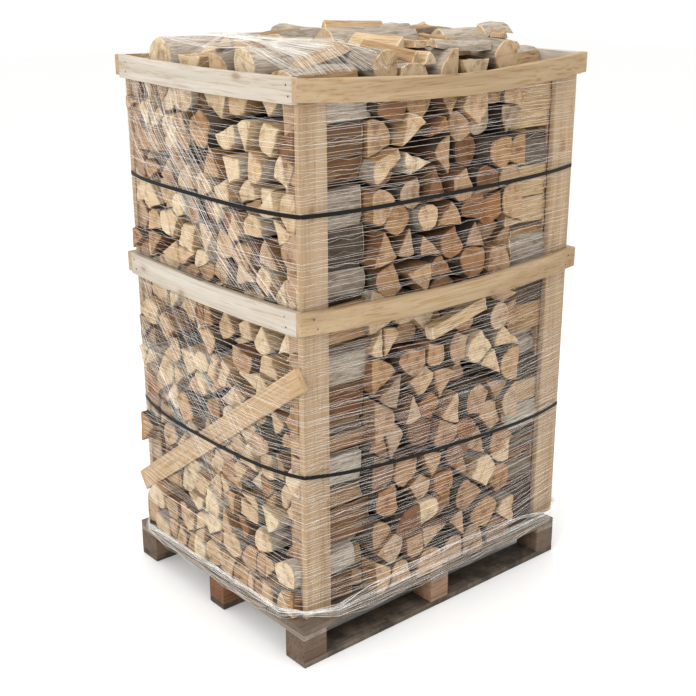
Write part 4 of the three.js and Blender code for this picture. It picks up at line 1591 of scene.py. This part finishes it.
    def slanted(self, joined: JoinedMesh, side_index: int, side: LoadSide, start: tuple[float, float],
                end: tuple[float, float], rng: np.random.Generator) -> None:
        """Adds one thread drawn slantwise across a side.

        Args:
            joined: the mesh that gathers the threads.
            side_index: the side's number.
            side: the side.
            start: its place along and up the side where it begins.
            end: the same where it ends.
            rng: the net's run of random numbers.
        """
        shares = np.linspace(0.0, 1.0, 16)
        u = start[0] + (end[0] - start[0]) * shares
        z = start[1] + (end[1] - start[1]) * shares + rng.normal(0, 0.006) * np.sin(shares * math.pi)
        w = self.lift(side_index, side, u, z) + self.thread * rng.uniform(0.6, 1.6)
        points = side.place(u, z, w)
        size = self.thread * rng.uniform(0.5, 0.9)
        self.tube(joined, points, side.outs(len(u)), np.full(len(u), size), False)

    def over_top(self, joined: JoinedMesh, heap: LooseHeap, rng: np.random.Generator) -> None:
        """Adds threads drawn over the loose logs behind the left rail, towards the near corner.

        Args:
            joined: the mesh that gathers the threads.
            heap: the loose logs, whose surface carries the threads.
            rng: the net's run of random numbers.
        """
        low, size = heap.corner, heap.size
        for _ in range(100):
            start = low + (rng.uniform(0.004, 0.2), size[1] * rng.uniform(0.5, 0.97))
            end = low + (rng.uniform(0.0, 0.34), rng.uniform(0.0, 0.05))
            shares = np.linspace(0.0, 1.0, 30)
            plan = start + np.outer(shares, end - start)
            ground = np.maximum(heap.height_at(plan), STACK_TOP) + 0.003
            ground[0] = ground[-1] = RAIL_TOPS["top"]
            for _ in range(80):
                ground[1:-1] = np.maximum(ground[1:-1], (ground[:-2] + ground[2:]) / 2)
            points = np.column_stack((plan, ground))
            away = np.repeat(np.array(((1.0, 0.0, 0.0),)), len(points), axis=0)
            self.tube(joined, points, away, np.full(len(points), self.thread * rng.uniform(0.5, 0.9)), False)

    def hem(self, joined: JoinedMesh, sides: dict[str, LoadSide], rng: np.random.Generator) -> None:
        """Adds the bunched hem at the deck: a few gathered threads, and more spread over the deck's edge.

        Args:
            joined: the mesh that gathers the threads.
            sides: the load's four sides.
            rng: the net's run of random numbers.
        """
        corners = self.hem_corners
        for strand in range(self.hem_strands):
            gathered = strand < self.hem_gathered
            phase, pace = rng.uniform(0, 6.3), rng.uniform(5, 11)
            reach = rng.uniform(0.002, 0.009) if gathered else rng.uniform(0.001, 0.004)
            drop = 0.0 if gathered else rng.uniform(-0.014, 0.042)
            parts, outs = [], []
            for index, side in enumerate(sides.values()):
                shares = (np.arange(40) + 0.02) / 40
                level = corners[index] + (corners[(index + 1) % 4] - corners[index]) * shares
                seen = side.name in ("left", "front")
                edge = 0.052 * np.clip(14 * np.minimum(shares, 1 - shares), 0, 1) if seen else 0.0
                if gathered and side.name == "front":
                    level = level + 0.05 * arch(shares)
                turn = phase + pace * (index + shares) * math.pi
                spread = (1.0 if seen else 0.35) * swell(shares) + 0.25
                z = level - drop * spread + reach * np.sin(turn)
                u = -0.006 + shares * (side.length + 0.012)
                w = np.maximum(self.lift(index, side, u, z), edge) + 0.004 + reach * (1 + np.cos(turn))
                parts.append(side.place(u, z, w))
                outs.append(side.outs(len(shares)))
            points = np.concatenate(parts)
            size = self.thread * (rng.uniform(0.8, 1.3) if gathered else rng.uniform(0.5, 1.0))
            self.tube(joined, points, np.concatenate(outs), np.full(len(points), size), True)

    def build(self, sides: dict[str, LoadSide], heap: LooseHeap, material: bpy.types.Material) -> None:
        """Knits the net: threads round the load, links between them, slanted draws and the hem.

        Args:
            sides: the load's four sides.
            heap: the loose logs that the net passes over.
            material: the net's finish.
        """
        rng = np.random.default_rng(self.seed)
        threads, links, draws = JoinedMesh(), JoinedMesh(), JoinedMesh()
        level = self.low + 0.02
        while level < self.high - 0.02:
            dense = 0.8 if level < 1.1 else 1.15
            self.round_thread(threads, sides, level, 0.0, rng)
            if rng.random() < 0.6:
                self.round_thread(links, sides, level + self.pitch / 2, 0.36 * self.pitch, rng)
            level += self.pitch * dense * rng.uniform(0.55, 1.45)
        left = sides["left"]
        for _ in range(56):
            lead = 0.42 * rng.beta(1.5, 1.4)
            reach = 0.6 + rng.normal(0, 0.012)
            past = max(0.0, lead + reach - 0.995)
            end = (left.length * min(0.995, lead + reach), 1.19 + past * left.length)
            self.slanted(draws, 3, left, (left.length * lead, self.high), end, rng)
        for _ in range(26):
            lead = rng.uniform(-0.2, 0.3)
            start = (left.length * max(0.0, lead), 1.79 + min(0.0, lead) * left.length)
            end = (start[0] + left.length * rng.uniform(0.25, 0.5), start[1] - rng.uniform(0.2, 0.42))
            self.slanted(draws, 3, left, start, end, rng)
        for _ in range(44):
            lead = rng.uniform(-0.45, 0.45)
            start = (left.length * max(0.0, lead), 1.10 + min(0.0, lead) * left.length)
            reach = rng.uniform(0.3, 0.6)
            end = (min(left.length, start[0] + left.length * reach), start[1] - left.length * reach * 0.9)
            self.slanted(draws, 3, left, start, end, rng)
        self.over_top(draws, heap, rng)
        self.hem(draws, sides, rng)
        first = threads.piece("net_threads", [material], logs=False)
        settle(first, "net", "net_wrap")
        settle(links.piece("net_links", [material], logs=False), "net")
        settle(draws.piece("net_draws_and_hem", [material], logs=False), "net")


@dataclass
class Studio:
    """Pale floor, soft lights and the camera."""

    camera_place: tuple[float, float, float] = (-2.5912, -3.0387, 2.1997)
    yaw: float = 0.6998
    pitch: float = 0.3349
    roll: float = -0.0029
    focal_px: float = 1164.4
    image_px: float = 696.0

    def set_camera(self) -> None:
        """Sets up the camera at the photograph's place."""
        data = bpy.data.cameras.new("studio_camera")
        data.sensor_width = 36.0
        data.lens = self.focal_px / self.image_px * data.sensor_width
        data.clip_end = 60.0
        camera = bpy.data.objects.new("studio_camera", data)
        bpy.context.scene.collection.objects.link(camera)
        ahead = Vector((math.sin(self.yaw) * math.cos(self.pitch),
                        math.cos(self.yaw) * math.cos(self.pitch), -math.sin(self.pitch)))
        right = ahead.cross(Vector((0, 0, 1))).normalized()
        above = right.cross(ahead)
        c, s = math.cos(self.roll), math.sin(self.roll)
        right, above = c * right + s * above, -s * right + c * above
        turn = Matrix((right, above, -ahead)).transposed().to_4x4()
        camera.matrix_world = Matrix.Translation(Vector(self.camera_place)) @ turn
        bpy.context.scene.camera = camera

    def lay_floor(self) -> None:
        """Lays the pale floor."""
        bpy.ops.object.select_all(action="DESELECT")
        bpy.ops.mesh.primitive_plane_add(size=40.0, location=(0, 0, -0.0006))
        floor = bpy.context.active_object
        floor.name = "floor"
        floor.data.materials.append(PaleFloor().build())

    def add_light(self, name: str, place: tuple[float, float, float], size: float, power: float) -> None:
        """Hangs one soft square light that looks at the load.

        Args:
            name: the light's name.
            place: where it hangs.
            size: the length of its sides.
            power: its watts.
        """
        data = bpy.data.lights.new(name, "AREA")
        data.shape, data.size, data.energy = "SQUARE", size, power
        light = bpy.data.objects.new(name, data)
        bpy.context.scene.collection.objects.link(light)
        light.location = place
        light.rotation_mode = "QUATERNION"
        light.rotation_quaternion = (Vector((0, 0, 0.8)) - Vector(place)).to_track_quat("-Z", "Y")

    def light_up(self) -> None:
        """Sets the pale surroundings and the soft lights."""
        world = bpy.data.worlds.new("pale_surroundings")
        world.use_nodes = True
        world.node_tree.nodes["Background"].inputs["Color"].default_value = linear("ffffff")
        world.node_tree.nodes["Background"].inputs["Strength"].default_value = 1.0
        bpy.context.scene.world = world
        bpy.context.scene.view_settings.view_transform = "Standard"
        self.add_light("key_light", (-5.2, -2.2, 3.6), 2.2, 150.0)
        self.add_light("fill_light", (2.2, -5.4, 3.4), 2.6, 38.0)
        self.add_light("top_light", (0.2, 0.4, 5.4), 2.6, 92.0)

    def build(self) -> None:
        """Sets up camera, floor and lights."""
        self.set_camera()
        self.lay_floor()
        self.light_up()


def main() -> None:
    """Builds the dressed load piece by piece."""
    logging.basicConfig(level=logging.INFO, format="%(message)s")
    Studio().build()
    sides = load_sides()
    boards = BoardWork()
    Pallet(boards).build()
    BoardCrate(boards).build(sides)
    woods = [SawnLogEnd().build(), SplitLogFace().build(), LogBark().build()]
    stacks = {
        "front": LogStack(sides["front"], 31, inner_row=0.2, paleness=(2.1, 1.4), wedges=0.3,
                          corners=5, split_area=0.0095, recess_chance=0.15, fullness=(0.98, 1.05), foot=0.045,
                          slab=((0.497, 1.010), (0.742, 1.066)), round_end=(0.812, 1.009)),
        "right": LogStack(sides["right"], 32, recess_chance=0.08, paleness=(1.1, 2.3), wedges=0.24, corners=5,
                          split_area=0.0075, fullness=(1.0, 1.09)),
        "back": LogStack(sides["back"], 33, inner_row=0.2),
        "left": LogStack(sides["left"], 34, recess_chance=0.08, paleness=(1.1, 2.3), wedges=0.3,
                         split_area=0.0062, fullness=(1.0, 1.09), overhang=True, foot=0.045),
    }
    for stack in stacks.values():
        stack.build(woods, sides)
    heap = LooseHeap()
    heap.build(woods, sides)
    strapping = BlackStrapping().build()
    straps = [
        FlatStrap("strap_upper", (1.460, 1.470, 1.466, 1.458), 0.003),
        FlatStrap("strap_lower", (0.641, 0.582, 0.606, 0.636), 0.014),
    ]
    for strap in straps:
        strap.build(sides, strapping)
    net = NetWrap()
    net.stretch(sides, stacks, straps)
    net.build(sides, heap, WhiteNetThread().build())


if __name__ == "__main__":
    main()
